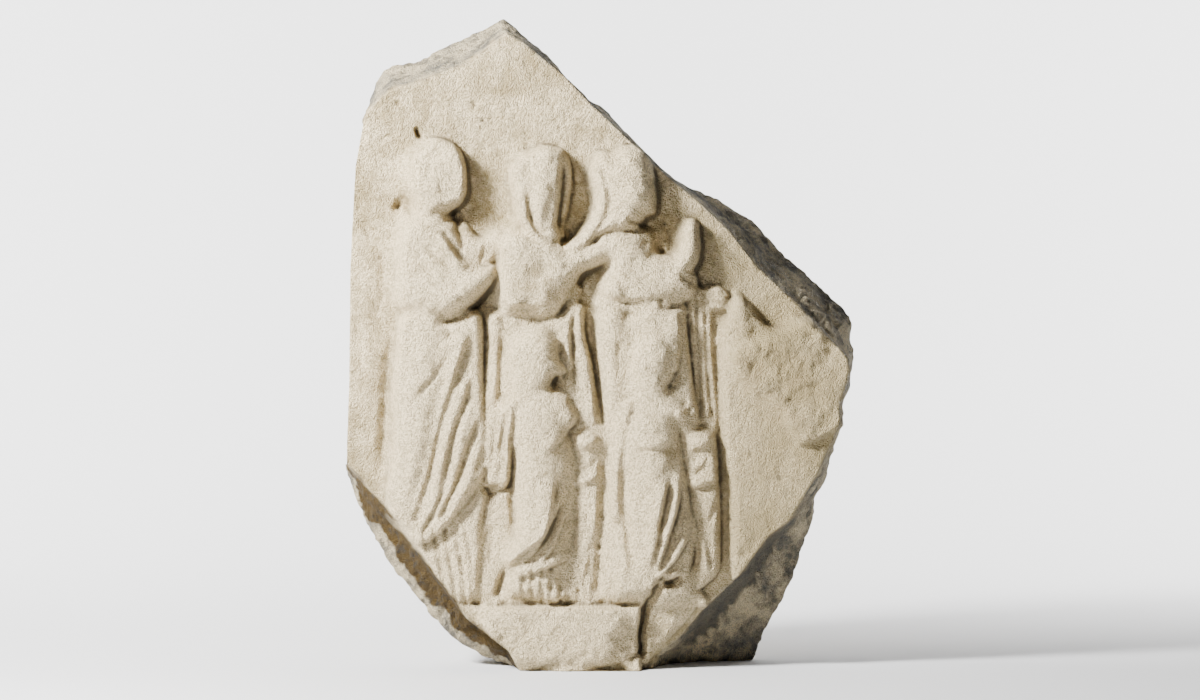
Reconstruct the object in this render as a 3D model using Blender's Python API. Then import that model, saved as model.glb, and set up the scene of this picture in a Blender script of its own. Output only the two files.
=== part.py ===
"""Fragment of a marble relief: three draped adults and two children standing on a ledge.

The carving is drawn on a grid of squares laid over the face of the slab. u runs to the right from
the middle line, v runs up from the underside, and depths are in metres, forward from the ground.
"""
import bpy
import numpy as np

HEIGHT = 0.526
SQUARES_HIGH = 658
SQUARE = HEIGHT / SQUARES_HIGH

# Slab and ledge
SLAB = 0.078
RIM = 0.014
LEDGE = 0.026
LEDGE_HEIGHT = 0.053

# How far each kind of form stands out from the ground
HEAD = 0.021
ADULT = 0.021
CHILD = 0.026
SMALL_FIGURE = 0.0135
STRANDS = 0.006
BLOCK = 0.012
BROKEN_MASS = 0.017

# Depth of a deep fold, and how rough the stone is where it broke and where it was dressed
FOLD = 0.006
BREAK_ROUGHNESS = 0.004
GROUND_ROUGHNESS = 0.0006

# How softly forms run into each other, and how far their edges start below the ground
FILLET = 0.0018
SOFT_FILLET = 0.0027
BLEND = 0.003
SOFT_BLEND = 0.0055
BURIED = -0.002
SWELL = 0.002

# Wear: sides facing left that rise more than this in one square are softened in so many passes
WORN_SLOPE = 0.0003
WEAR_PASSES = 6

# Parts behind the ground look smaller to an eye at this distance and at this height in squares,
# so they are spread to show where the eye sees them. The underside stays level.
EYE_DISTANCE = 2.37
EYE_LEVEL = 319
LEVEL_ZONE = 60

# Grid: squares between its points, and spare columns over the width at the right
CELL = 2
SPARE_COLUMNS = 60
TRIANGLES = 9700
MARBLE = (0.80, 0.76, 0.69)

# The back is this share of the front's width and height, rough by the second share
BACK_WIDTH = (0.982, 0.008)
BACK_HEIGHT = (0.990, 0.004)

# The steep break at the lower right falls by this share of its depth in this share of its width
STEEP_FALL = 0.62
STEEP_WIDTH = 0.3
# The break at the lower left falls less far, by this share
SHALLOW = 0.55

# Marks for a far distance, and for a place where a form isn't
FAR = 1e6
ABSENT = -1.0

# Heights in squares that the outlines share
PEAK = 650
FEET = LEDGE_HEIGHT / SQUARE - 3

# The outer outline, down the left side and down the right side of the peak
LEFT_SIDE = [(-98, 650), (-113, 641), (-150, 623), (-180, 606), (-205, 603), (-216, 598), (-225, 585),
             (-236, 551), (-245, 500), (-250, 400), (-251, 289), (-254, 200), (-252, 192), (-235, 147),
             (-205, 98), (-187, 75), (-160, 45), (-140, 24), (-115, 9), (-96, 3), (-84, -14)]
RIGHT_SIDE = [(-98, 650), (-85, 641), (-70, 628), (-50, 612), (-32, 589), (-10, 567), (0, 563),
              (30, 533), (60, 502), (76, 489), (110, 475), (150, 450), (180, 420), (200, 401),
              (230, 373), (246, 358), (254, 344), (251, 329), (254, 314), (250, 282), (243, 262),
              (244, 244), (235, 222), (228, 197), (218, 171), (208, 137), (193, 94), (183, 70),
              (168, 44), (158, 19), (150, -14)]

# The edge of the carved face, where the broken sides begin
FACE_EDGE = [(-212, 577), (-170, 590), (-130, 607), (-94, 634), (-75, 624), (-32, 589), (-10, 565),
             (30, 527), (65, 494), (100, 465), (130, 436), (157, 401), (190, 370), (220, 339),
             (245, 312), (248, 299), (238, 264), (238, 244), (215, 194), (188, 149), (168, 135),
             (137, 94), (100, 59), (78, 32), (55, 14), (45, -40), (-60, -40), (-90, 21), (-132, 54),
             (-163, 94), (-192, 129), (-222, 169), (-238, 191), (-254, 206), (-275, 240),
             (-275, 480), (-245, 525), (-232, 557)]


def curve(points, steps=6, closed=False):
    """A smooth line through the points. Further columns, such as a radius, are carried along."""
    p = np.asarray(points, float)
    if closed:
        p = np.vstack([p[-1], p, p[0], p[1]])
    else:
        p = np.vstack([2 * p[0] - p[1], p, 2 * p[-1] - p[-2]])
    t = np.linspace(0, 1, steps, endpoint=False)[:, None]
    pieces = []
    for a, b, c, d in zip(p, p[1:], p[2:], p[3:]):
        pieces.append(0.5 * (2 * b + (c - a) * t + (2 * a - 5 * b + 4 * c - d) * t ** 2
                             + (3 * b - a - 3 * c + d) * t ** 3))
    if not closed:
        pieces.append(p[-2:-1])
    return np.vstack(pieces)


def lattice(i, j, seed):
    """A fixed value from -1 to 1 for each corner of a grid."""
    n = (i * 374761393 + j * 668265263 + seed * 974634777) & 0xFFFFFFFF
    n = ((n ^ (n >> 13)) * 1274126177) & 0xFFFFFFFF
    return ((n ^ (n >> 16)) & 0xFFFF) / 32767.5 - 1.0


def grain(u, v, size, seed, octaves=3):
    """Smooth uneven values from about -1 to 1, with lumps of the given size and finer ones."""
    total = np.zeros(np.shape(u))
    for octave in range(octaves):
        x, y = u / size * 2 ** octave, v / size * 2 ** octave
        i, j = np.floor(x).astype(np.int64), np.floor(y).astype(np.int64)
        x, y = x - i, y - j
        x, y = x * x * (3 - 2 * x), y * y * (3 - 2 * y)
        low = lattice(i, j, seed + octave) * (1 - x) + lattice(i + 1, j, seed + octave) * x
        high = lattice(i, j + 1, seed + octave) * (1 - x) + lattice(i + 1, j + 1, seed + octave) * x
        total += (low * (1 - y) + high * y) / 2 ** octave
    return total


def depth_inside(u, v, line):
    """Distance to a closed line, negative outside it."""
    inside = np.zeros(u.shape, bool)
    nearest = np.full(u.shape, FAR)
    for (ax, ay), (bx, by) in zip(line, np.roll(line, -1, axis=0)):
        dx, dy = bx - ax, by - ay
        t = np.clip(((u - ax) * dx + (v - ay) * dy) / (dx * dx + dy * dy), 0, 1)
        nearest = np.minimum(nearest, (u - ax - t * dx) ** 2 + (v - ay - t * dy) ** 2)
        if ay != by:
            inside ^= ((ay > v) != (by > v)) & (u < dx * (v - ay) / dy + ax)
    return np.where(inside, 1, -1) * np.sqrt(nearest)


def along(u, v, line):
    """Distance to a line, share of its length, side of it and carried values at the nearest point.
    The side is 1 on the left of the line's run and -1 on its right."""
    run = np.concatenate([[0], np.cumsum(np.hypot(*np.diff(line[:, :2], axis=0).T))])
    nearest = np.full(u.shape, FAR)
    share, side = np.zeros(u.shape), np.ones(u.shape)
    carried = np.zeros(u.shape + (line.shape[1] - 2,))
    for a, b, start, end in zip(line, line[1:], run, run[1:]):
        dx, dy = b[:2] - a[:2]
        t = np.clip(((u - a[0]) * dx + (v - a[1]) * dy) / max(dx * dx + dy * dy, 1e-9), 0, 1)
        off_u, off_v = u - a[0] - t * dx, v - a[1] - t * dy
        distance = np.hypot(off_u, off_v)
        closer = distance < nearest
        nearest = np.where(closer, distance, nearest)
        share = np.where(closer, (start + t * (end - start)) / run[-1], share)
        side = np.where(closer, np.where(dx * off_v > dy * off_u, 1, -1), side)
        if carried.shape[-1]:
            carried = np.where(closer[..., None], a[2:] + (b[2:] - a[2:]) * t[..., None], carried)
    return nearest, share, side, carried


def soften(height, times):
    """Blurs the heights a little, as wear does."""
    for _ in range(times):
        padded = np.pad(height, 1, mode="edge")
        height = 0.25 * padded[:-2, 1:-1] + 0.5 * padded[1:-1, 1:-1] + 0.25 * padded[2:, 1:-1]
        padded = np.pad(height, 1, mode="edge")
        height = 0.25 * padded[1:-1, :-2] + 0.5 * padded[1:-1, 1:-1] + 0.25 * padded[1:-1, 2:]
    return height


class Relief:
    """The carved face: a height for each point (u, v) of a grid that fills the outline."""

    def __init__(self):
        left, right = np.asarray(LEFT_SIDE), np.asarray(RIGHT_SIDE)
        rows = np.arange(0, PEAK + 1, CELL)
        columns = np.linspace(0, 1, np.ptp(right[:, 0]).astype(int) // CELL + SPARE_COLUMNS)
        start = np.interp(-rows, -left[:, 1], left[:, 0])
        end = np.maximum(np.interp(-rows, -right[:, 1], right[:, 0]), start + 3 * CELL)
        self.u = start[:, None] + (end - start)[:, None] * columns
        self.v = np.repeat(rows[:, None], len(columns), axis=1).astype(float)
        self.height = np.zeros(self.u.shape)

    def near(self, line, reach):
        """The part of the grid within reach of a line."""
        v = self.v[:, 0]
        rows = slice(*np.searchsorted(v, [line[:, 1].min() - reach, line[:, 1].max() + reach]))
        if rows.start == rows.stop:
            return slice(0, 0), slice(0, 0)
        low, high = self.u[rows].min(axis=0), self.u[rows].max(axis=0)
        columns = np.nonzero((high > line[:, 0].min() - reach) & (low < line[:, 0].max() + reach))[0]
        return rows, slice(columns[0], columns[-1] + 1)


class Form:
    """One carved form: built up by masses and limbs, cut by folds, then laid on the relief."""

    def __init__(self, relief, blend=BLEND):
        self.relief = relief
        self.blend = blend
        self.height = np.full(relief.height.shape, ABSENT)

    def place(self, line, reach):
        where = self.relief.near(np.asarray(line, float), reach)
        return where, self.relief.u[where], self.relief.v[where]

    def join(self, where, shape, inside):
        old = self.height[where]
        joined = 0.5 * (old + shape + np.sqrt((old - shape) ** 2 + self.blend ** 2))
        self.height[where] = np.where(inside & (old > ABSENT), joined, np.where(inside, shape, old))
        return self

    def mass(self, outline, top, edge=14.0, soft=None, lean=0.0, swell=0.0):
        """A form with its edge rounded over the given width, and over the soft width on its left.
        Lean raises its right side, and swell its middle."""
        line = curve(outline, 4, closed=True)
        where, u, v = self.place(line, 1)
        inside = depth_inside(u, v, line)
        leftness = np.clip(1.2 - 2.0 * (u - line[:, 0].min()) / np.ptp(line[:, 0]), 0, 1)
        leftness = leftness if soft else 0 * leftness
        share = np.clip(inside / (edge + ((soft or edge) - edge) * leftness), 0, 1)
        crown = top + lean * (u - line[:, 0].mean()) + swell * np.clip(inside / 40, 0, 1)
        steep, gentle = np.sqrt(1 - (1 - share) ** 2), share * share * (3 - 2 * share)
        return self.join(where, BURIED + (crown - BURIED) * (steep + (gentle - steep) * leftness),
                         inside > 0)

    def limb(self, spine):
        """A rounded form along a line of (u, v, radius, top)."""
        line = curve(spine)
        where, u, v = self.place(line, line[:, 2].max())
        distance, _, _, carried = along(u, v, line)
        radius, top = carried[..., 0], carried[..., 1]
        round_part = np.sqrt(np.clip(1 - (distance / np.maximum(radius, 1)) ** 2, 0, 1))
        return self.join(where, BURIED + (top - BURIED) * round_part, distance < radius)

    def oval(self, centre, radii, top, turn=0.0):
        where, u, v = self.place([centre], max(radii))
        c, s = np.cos(np.radians(turn)), np.sin(np.radians(turn))
        u, v = u - centre[0], v - centre[1]
        reach = np.hypot((u * c + v * s) / radii[0], (v * c - u * s) / radii[1])
        round_part = np.clip(1 - reach ** 2.4, 0, 1) ** 0.5
        return self.join(where, BURIED + (top - BURIED) * round_part, reach < 1)

    def change(self, where, amount):
        part = self.height[where]
        self.height[where] = np.where(part > ABSENT, part + amount, part)
        return self

    def groove(self, line, width, depth, fade=0.2):
        """A fold's hollow. A negative depth makes a ridge."""
        line = curve(line)
        where, u, v = self.place(line, width)
        distance, share, _, _ = along(u, v, line)
        ends = np.clip(np.minimum(share, 1 - share) / fade, 0, 1)
        return self.change(where, -depth * np.clip(1 - distance / width, 0, 1) ** 1.3 * ends)

    def fold(self, line, width, height, fade=0.2):
        """A rounded fold that stands up."""
        line = curve(line)
        where, u, v = self.place(line, width)
        distance, share, _, _ = along(u, v, line)
        ends = np.sqrt(np.clip(np.minimum(share, 1 - share) / fade, 0, 1))
        return self.change(where, height * np.cos(0.5 * np.pi * np.clip(distance / width, 0, 1)) * ends)

    def step(self, line, reach, height, fade=0.15):
        """A cloth edge. What lies on the left of the line's run stands up and sinks back over the
        reach, and a hollow follows the line on its right."""
        line = curve(line)
        where, u, v = self.place(line, reach)
        distance, share, side, _ = along(u, v, line)
        ends = np.clip(np.minimum(share, 1 - share) / fade, 0, 1)
        over = distance * side
        upper = np.clip((over + 1.5) / 3, 0, 1) * np.clip(1 - over / reach, 0, 1)
        hollow = np.where(over < 0, np.clip(1 - distance / (0.6 * reach), 0, 1), 0)
        return self.change(where, height * ends * (0.55 * upper - 0.45 * hollow) * (distance < reach))

    def pleats(self, left, right, count, depth):
        """Hanging pleats between two lines that run down."""
        left, right = curve(left), curve(right)
        where, u, v = self.place(np.vstack([left, right]), 1)
        start = np.interp(-v, -left[:, 1], left[:, 0])
        end = np.interp(-v, -right[:, 1], right[:, 0])
        across = (u - start) / (end - start)
        down = (max(left[0, 1], right[0, 1]) - v) / (left[0, 1] - left[-1, 1])
        inside = (across > 0) & (across < 1) & (down > 0) & (down < 1)
        fade = np.clip(np.minimum(down, 1 - down) / 0.1, 0, 1)
        wave = np.abs(np.sin(np.pi * count * across)) - 1
        return self.change(where, np.where(inside, depth * wave * fade, 0))

    def rough(self, outline, amount, lump=12, seed=1, edge=10):
        """Breaks up the surface inside an outline."""
        line = curve(outline, 4, closed=True)
        where, u, v = self.place(line, 1)
        inside = np.clip(depth_inside(u, v, line) / edge, 0, 1)
        uneven = grain(u, v, lump, seed, 4) - 0.35 * np.abs(grain(u, v, 0.45 * lump, seed + 7, 3))
        return self.change(where, amount * uneven * inside)

    def scoop(self, centre, radii, depth, turn=0.0):
        """A rounded hollow, or a chip where it is small."""
        where, u, v = self.place([centre], 2.4 * max(radii))
        c, s = np.cos(np.radians(turn)), np.sin(np.radians(turn))
        u, v = u - centre[0], v - centre[1]
        return self.change(where, -depth * np.exp(-((u * c + v * s) / radii[0]) ** 2
                                                  - ((v * c - u * s) / radii[1]) ** 2))

    def lay(self, fillet=FILLET):
        """Joins the form to the relief with a fillet where they meet."""
        under, over = self.relief.height, self.height
        self.relief.height = 0.5 * (under + over + np.sqrt((under - over) ** 2 + fillet ** 2))


class Cuts(Form):
    """Hollows cut into everything that has been laid so far."""

    def change(self, where, amount):
        self.relief.height[where] += amount
        return self


def block_and_strands(relief):
    """The plain block at the right, the broken mass on it, the hanging strands and a small hand."""
    block = Form(relief)
    block.mass([(132, 380), (140, 380), (157, 364), (172, 345), (203, 354), (250, 330), (268, 270),
                (235, 200), (195, 120), (150, 80), (128, 88), (124, 130), (124, 170), (116, 240),
                (116, 300), (118, 345)], BLOCK, 8, 12)
    block.groove([(140, 383), (157, 366), (170, 347), (185, 344), (203, 354)], 7, 1.0 * FOLD)
    block.fold([(142, 372), (152, 356), (160, 338)], 9, 0.5 * FOLD)
    block.groove([(123, 117), (150, 116)], 4, 0.25 * FOLD)
    block.lay()
    broken = Form(relief)
    broken.mass([(130, 331), (128, 299), (145, 276), (170, 259), (188, 234), (203, 221), (236, 236),
                 (258, 262), (258, 312), (222, 342), (204, 352), (180, 341), (148, 337)],
                BROKEN_MASS, 13, 10)
    broken.rough([(125, 340), (125, 250), (203, 215), (262, 262), (262, 345)],
                 0.38 * BREAK_ROUGHNESS, 17, 5, 4)
    broken.fold([(195, 348), (210, 340), (224, 330)], 6, 0.5 * FOLD)
    broken.scoop((152, 290), (12, 10), 0.8 * FOLD, 30)
    broken.scoop((186, 270), (16, 7), 0.6 * FOLD, -40)
    broken.lay()
    strands = Form(relief)
    strands.mass([(86, 382), (104, 381), (112, 372), (112, 330), (117, 270), (118, 236), (98, 238),
                  (92, 319)], STRANDS, 5)
    strands.groove([(97, 372), (99, 309), (102, 250)], 4, 0.7 * FOLD, 0.1)
    strands.groove([(105, 376), (107, 309), (113, 245)], 4, 0.6 * FOLD, 0.1)
    for finger in range(3):
        strands.limb([(108, 378 - 8 * finger, 4, 1.3 * STRANDS),
                      (118, 378 - 8 * finger, 5, 1.7 * STRANDS),
                      (126, 374 - 7 * finger, 4, 1.3 * STRANDS)])
    strands.lay()


def small_figures(relief):
    """The two low figures between the large ones."""
    left = Form(relief)
    left.mass([(-27, 236), (-14, 241), (-2, 236), (4, 224), (3, 192), (1, 150), (-2, 110), (-5, FEET),
               (-30, FEET), (-28, 150)], SMALL_FIGURE, 9)
    left.oval((-13, 231), (15, 13), 1.4 * SMALL_FIGURE)
    left.step([(-24, 197), (-12, 203), (-4, 214)], 10, 0.4 * FOLD)
    left.step([(-24, 218), (-12, 223), (-2, 229)], 8, 0.4 * FOLD)
    left.step([(-24, 183), (-14, 186), (1, 193)], 14, 0.9 * FOLD, 0.02)
    left.groove([(-16, 180), (-13, 154), (-7, 134), (-17, 103)], 6, 0.5 * FOLD)
    left.step([(-17, 92), (-9, 122), (-4, 145), (-1, 172)], 8, 0.7 * FOLD)
    left.groove([(-8, 120), (-7, 92), (-7, FEET)], 4, 0.7 * FOLD, 0.05)
    left.groove([(-23, 90), (-22, FEET)], 4, 0.5 * FOLD, 0.05)
    left.groove([(-15, 92), (-15, FEET)], 3, 0.4 * FOLD, 0.05)
    left.lay()
    right = Form(relief)
    right.mass([(80, 232), (92, 241), (108, 240), (117, 226), (120, 186), (121, 120), (119, 98),
                (108, 86), (95, 82), (90, 130)], SMALL_FIGURE, 9)
    right.oval((98, 229), (19, 15), 1.35 * SMALL_FIGURE)
    right.fold([(96, 206), (108, 204), (116, 212)], 8, 0.4 * FOLD)
    right.step([(88, 220), (100, 222), (113, 230)], 10, 0.4 * FOLD)
    right.step([(89, 195), (101, 204), (110, 216)], 10, 0.4 * FOLD)
    right.step([(90, 181), (104, 184), (119, 190)], 16, 0.9 * FOLD, 0.02)
    right.step([(110, 97), (104, 130), (99, 150), (96, 178)], 12, 0.6 * FOLD)
    right.groove([(118, 170), (108, 145)], 5, 0.4 * FOLD)
    right.lay()


def right_adult(relief):
    """Head turned away, mantle round the waist and a hand raised in prayer."""
    skirt = Form(relief)
    skirt.mass([(-2, 360), (-7, 335), (-6, 305), (-4, 275), (1, 240), (4, 215), (1, 165), (-1, 120),
                (-3, FEET), (90, FEET), (100, 149), (102, 241), (96, 275), (90, 324), (86, 366), (45, 362)],
               0.78 * ADULT, 22, 13, swell=SWELL)
    skirt.limb([(50, 352, 26, 0.98 * ADULT), (54, 318, 27, 1.02 * ADULT),
                (50, 285, 22, 0.9 * ADULT)])
    skirt.limb([(14, 350, 18, 0.9 * ADULT), (14, 310, 17, 0.9 * ADULT),
                (16, 262, 14, 0.86 * ADULT), (16, 200, 12, 0.8 * ADULT)])
    skirt.step([(68, 277), (77, 301), (80, 334), (77, 362)], 20, FOLD)
    skirt.step([(101, 240), (94, 285), (89, 320), (84, 362)], 12, 0.9 * FOLD)
    skirt.groove([(12, 122), (14, 160), (16, 220)], 6, 0.35 * FOLD)
    skirt.groove([(30, 340), (32, 310), (28, 280)], 9, 0.25 * FOLD)
    skirt.lay()
    torso = Form(relief, SOFT_BLEND)
    torso.mass([(-30, 408), (-22, 418), (-5, 436), (14, 446), (50, 447), (66, 436), (72, 410), (90, 402),
                (97, 386), (86, 368), (70, 357), (40, 351), (10, 352), (-10, 362), (-15, 378),
                (-16, 392), (-11, 402)], 0.94 * ADULT, 20, 22, swell=SWELL)
    torso.limb([(-4, 420, 14, 0.9 * ADULT), (10, 414, 20, 0.98 * ADULT),
                (40, 402, 22, 1.02 * ADULT), (58, 398, 14, 1.0 * ADULT),
                (72, 402, 10, 0.95 * ADULT), (82, 411, 9, 0.9 * ADULT),
                (89, 423, 9, 0.85 * ADULT), (92, 434, 9, 0.78 * ADULT),
                (90, 442, 8, 0.68 * ADULT)])
    torso.groove([(80, 436), (82, 424), (78, 414)], 4, 0.4 * FOLD)
    torso.limb([(72, 394, 14, 0.98 * ADULT), (84, 384, 13, 0.95 * ADULT),
                (84, 370, 11, 0.85 * ADULT)])
    torso.fold([(-9, 371), (6, 361), (28, 357), (50, 358), (72, 364)], 8, 0.55 * FOLD, 0.12)
    torso.groove([(-10, 377), (8, 369), (28, 365), (52, 366)], 5, 0.6 * FOLD)
    torso.groove([(-2, 356), (18, 349), (45, 350)], 5, 0.5 * FOLD)
    torso.groove([(60, 372), (63, 359)], 5, 0.6 * FOLD)
    torso.groove([(78, 392), (88, 388), (96, 384)], 6, 0.6 * FOLD)
    torso.scoop((44, 430), (24, 11), 1.1 * FOLD, -42)
    torso.rough([(-30, 425), (20, 446), (85, 420), (90, 370), (40, 350), (-15, 360)],
                0.3 * BREAK_ROUGHNESS, 15, 9)
    torso.lay(SOFT_FILLET)
    head = Form(relief, SOFT_BLEND)
    head.mass([(-2, 514), (8, 521), (24, 524), (36, 521), (46, 511), (52, 497), (56, 482), (57, 468),
               (56, 456), (48, 449), (30, 444), (14, 438), (4, 434), (-8, 424), (-22, 414),
               (-30, 420), (-15, 434), (-3, 450), (4, 466), (0, 478), (-7, 495), (-7, 506)],
              0.98 * HEAD, 9, 15, swell=SWELL)
    head.limb([(2, 515, 9, 0.9 * HEAD), (0, 498, 10, 0.95 * HEAD),
               (9, 472, 11, 0.98 * HEAD), (4, 450, 11, 0.98 * HEAD),
               (-9, 432, 10, 0.9 * HEAD), (-24, 419, 9, 0.8 * HEAD)])
    head.limb([(30, 498, 26, 1.08 * HEAD), (32, 470, 24, 1.08 * HEAD)])
    head.limb([(24, 452, 22, 0.95 * HEAD), (22, 425, 22, 0.95 * HEAD)])
    head.groove([(14, 500), (17, 478), (14, 458)], 6, 0.4 * FOLD)
    head.lay(SOFT_FILLET)
    cuts = Cuts(relief)
    cuts.groove([(30, 445), (42, 440), (56, 424)], 6, 0.9 * FOLD)
    cuts.groove([(52, 451), (58, 442), (61, 424)], 7, 1.2 * FOLD)
    cuts.groove([(63, 446), (70, 430), (70, 424)], 6, 0.9 * FOLD)
    cuts.groove([(14, 397), (18, 388), (23, 376)], 2.5, 0.45 * FOLD, 0.1)


def middle_adult(relief):
    """Veiled, with the head tilted."""
    skirt = Form(relief)
    skirt.mass([(-112, 362), (-116, 330), (-116, 299), (-112, 260), (-112, 200), (-120, 150),
                (-130, FEET), (0, FEET), (2, 224), (-2, 254), (-9, 304), (-16, 334), (-20, 366),
                (-55, 352)], 0.6 * ADULT, 10, 10)
    skirt.limb([(-104, 350, 8, 0.7 * ADULT), (-107, 300, 8, 0.72 * ADULT),
                (-108, 250, 9, 0.72 * ADULT), (-112, 205, 9, 0.75 * ADULT)])
    skirt.groove([(-25, 363), (-27, 340), (-26, 310), (-25, 277)], 5, 0.9 * FOLD)
    skirt.fold([(-32, 340), (-33, 310), (-30, 280)], 6, 0.4 * FOLD)
    skirt.step([(-4, 240), (-5, 264), (-9, 304), (-15, 334), (-20, 362)], 14, 0.9 * FOLD)
    skirt.groove([(-97, 335), (-99, 300), (-100, 262)], 5, 0.5 * FOLD)
    skirt.step([(-128, 84), (-119, 120), (-112, 150), (-109, 180)], 12, 0.8 * FOLD)
    skirt.groove([(-112, 100), (-104, 150)], 5, 0.4 * FOLD)
    skirt.lay()
    torso = Form(relief, SOFT_BLEND)
    torso.mass([(-122, 428), (-112, 438), (-98, 445), (-80, 442), (-62, 426), (-45, 418), (-22, 418),
                (-8, 414), (-4, 404), (-12, 398), (-24, 396), (-32, 388), (-36, 378), (-46, 368),
                (-47, 356), (-54, 350), (-72, 347), (-96, 344), (-112, 358), (-112, 384),
                (-118, 407)], 0.92 * ADULT, 15, 20, swell=SWELL)
    torso.limb([(-98, 426, 20, 0.98 * ADULT), (-104, 408, 16, 0.95 * ADULT)])
    torso.limb([(-80, 412, 26, 1.05 * ADULT), (-72, 385, 28, 1.08 * ADULT),
                (-74, 366, 22, 1.02 * ADULT)])
    torso.limb([(-44, 404, 15, 1.0 * ADULT), (-24, 406, 11, 0.98 * ADULT),
                (-8, 408, 8, 0.9 * ADULT)])
    torso.limb([(-98, 357, 10, 0.95 * ADULT), (-75, 352, 9, 0.98 * ADULT),
                (-54, 356, 8, 0.9 * ADULT)])
    torso.groove([(-104, 424), (-101, 410), (-104, 396)], 5, 0.9 * FOLD)
    torso.groove([(-108, 366), (-90, 359), (-68, 360), (-50, 366)], 5, 0.5 * FOLD)
    torso.scoop((-62, 396), (16, 12), 0.5 * FOLD, 20)
    torso.rough([(-115, 440), (-60, 428), (-10, 418), (-20, 390), (-40, 350), (-110, 345)],
                0.32 * BREAK_ROUGHNESS, 14, 3)
    torso.lay(SOFT_FILLET)
    collar = Form(relief)
    collar.mass([(-72, 448), (-58, 446), (-42, 444), (-37, 430), (-38, 417), (-50, 416), (-64, 430)],
                0.72 * HEAD, 6)
    collar.mass([(-37, 446), (-20, 434), (-8, 428), (-2, 416), (-20, 412), (-37, 415)],
                0.72 * HEAD, 8)
    collar.lay(SOFT_FILLET)
    head = Form(relief)
    head.mass([(-93, 500), (-86, 513), (-70, 520), (-50, 523), (-39, 520), (-31, 509), (-28, 492),
               (-31, 478), (-36, 470), (-44, 462), (-46, 450), (-54, 440), (-64, 436), (-42, 418),
               (-56, 412), (-84, 436), (-99, 440), (-90, 456), (-91, 474), (-94, 486)],
              0.85 * HEAD, 9, 18, swell=SWELL)
    head.limb([(-58, 506, 20, 1.02 * HEAD), (-60, 490, 20, 1.08 * HEAD),
               (-60, 472, 16, 1.08 * HEAD), (-60, 456, 13, 1.02 * HEAD),
               (-59, 447, 9, 0.9 * HEAD)])
    head.limb([(-82, 494, 12, 0.95 * HEAD), (-80, 470, 11, 0.98 * HEAD),
               (-76, 452, 9, 0.98 * HEAD), (-70, 440, 8, 0.98 * HEAD),
               (-58, 427, 7, 0.95 * HEAD), (-45, 417, 6, 0.9 * HEAD)])
    head.groove([(-38, 500), (-40, 486), (-43, 468), (-46, 450), (-42, 440)], 6, 1.5 * FOLD, 0.25)
    head.groove([(-88, 444), (-74, 431), (-60, 416)], 5, 0.55 * FOLD)
    head.groove([(-70, 464), (-67, 446), (-54, 428)], 4, 0.7 * FOLD)
    head.scoop((-53, 474), (7, 20), 0.45 * FOLD, -12)
    head.lay()
    cuts = Cuts(relief)
    cuts.groove([(-50, 349), (-46, 364), (-34, 374), (-18, 392), (-4, 402), (4, 399)], 7, 0.8 * FOLD)
    cuts.groove([(-34, 358), (-24, 372), (-14, 384), (-6, 396)], 7, 0.5 * FOLD)
    cuts.scoop((-41, 443), (5, 7), 0.9 * FOLD)
    cuts.groove([(-33, 444), (-22, 435)], 3, 0.35 * FOLD, 0.1)
    cuts.groove([(-40, 441), (-37, 419)], 2.5, 0.4 * FOLD, 0.1)


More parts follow.
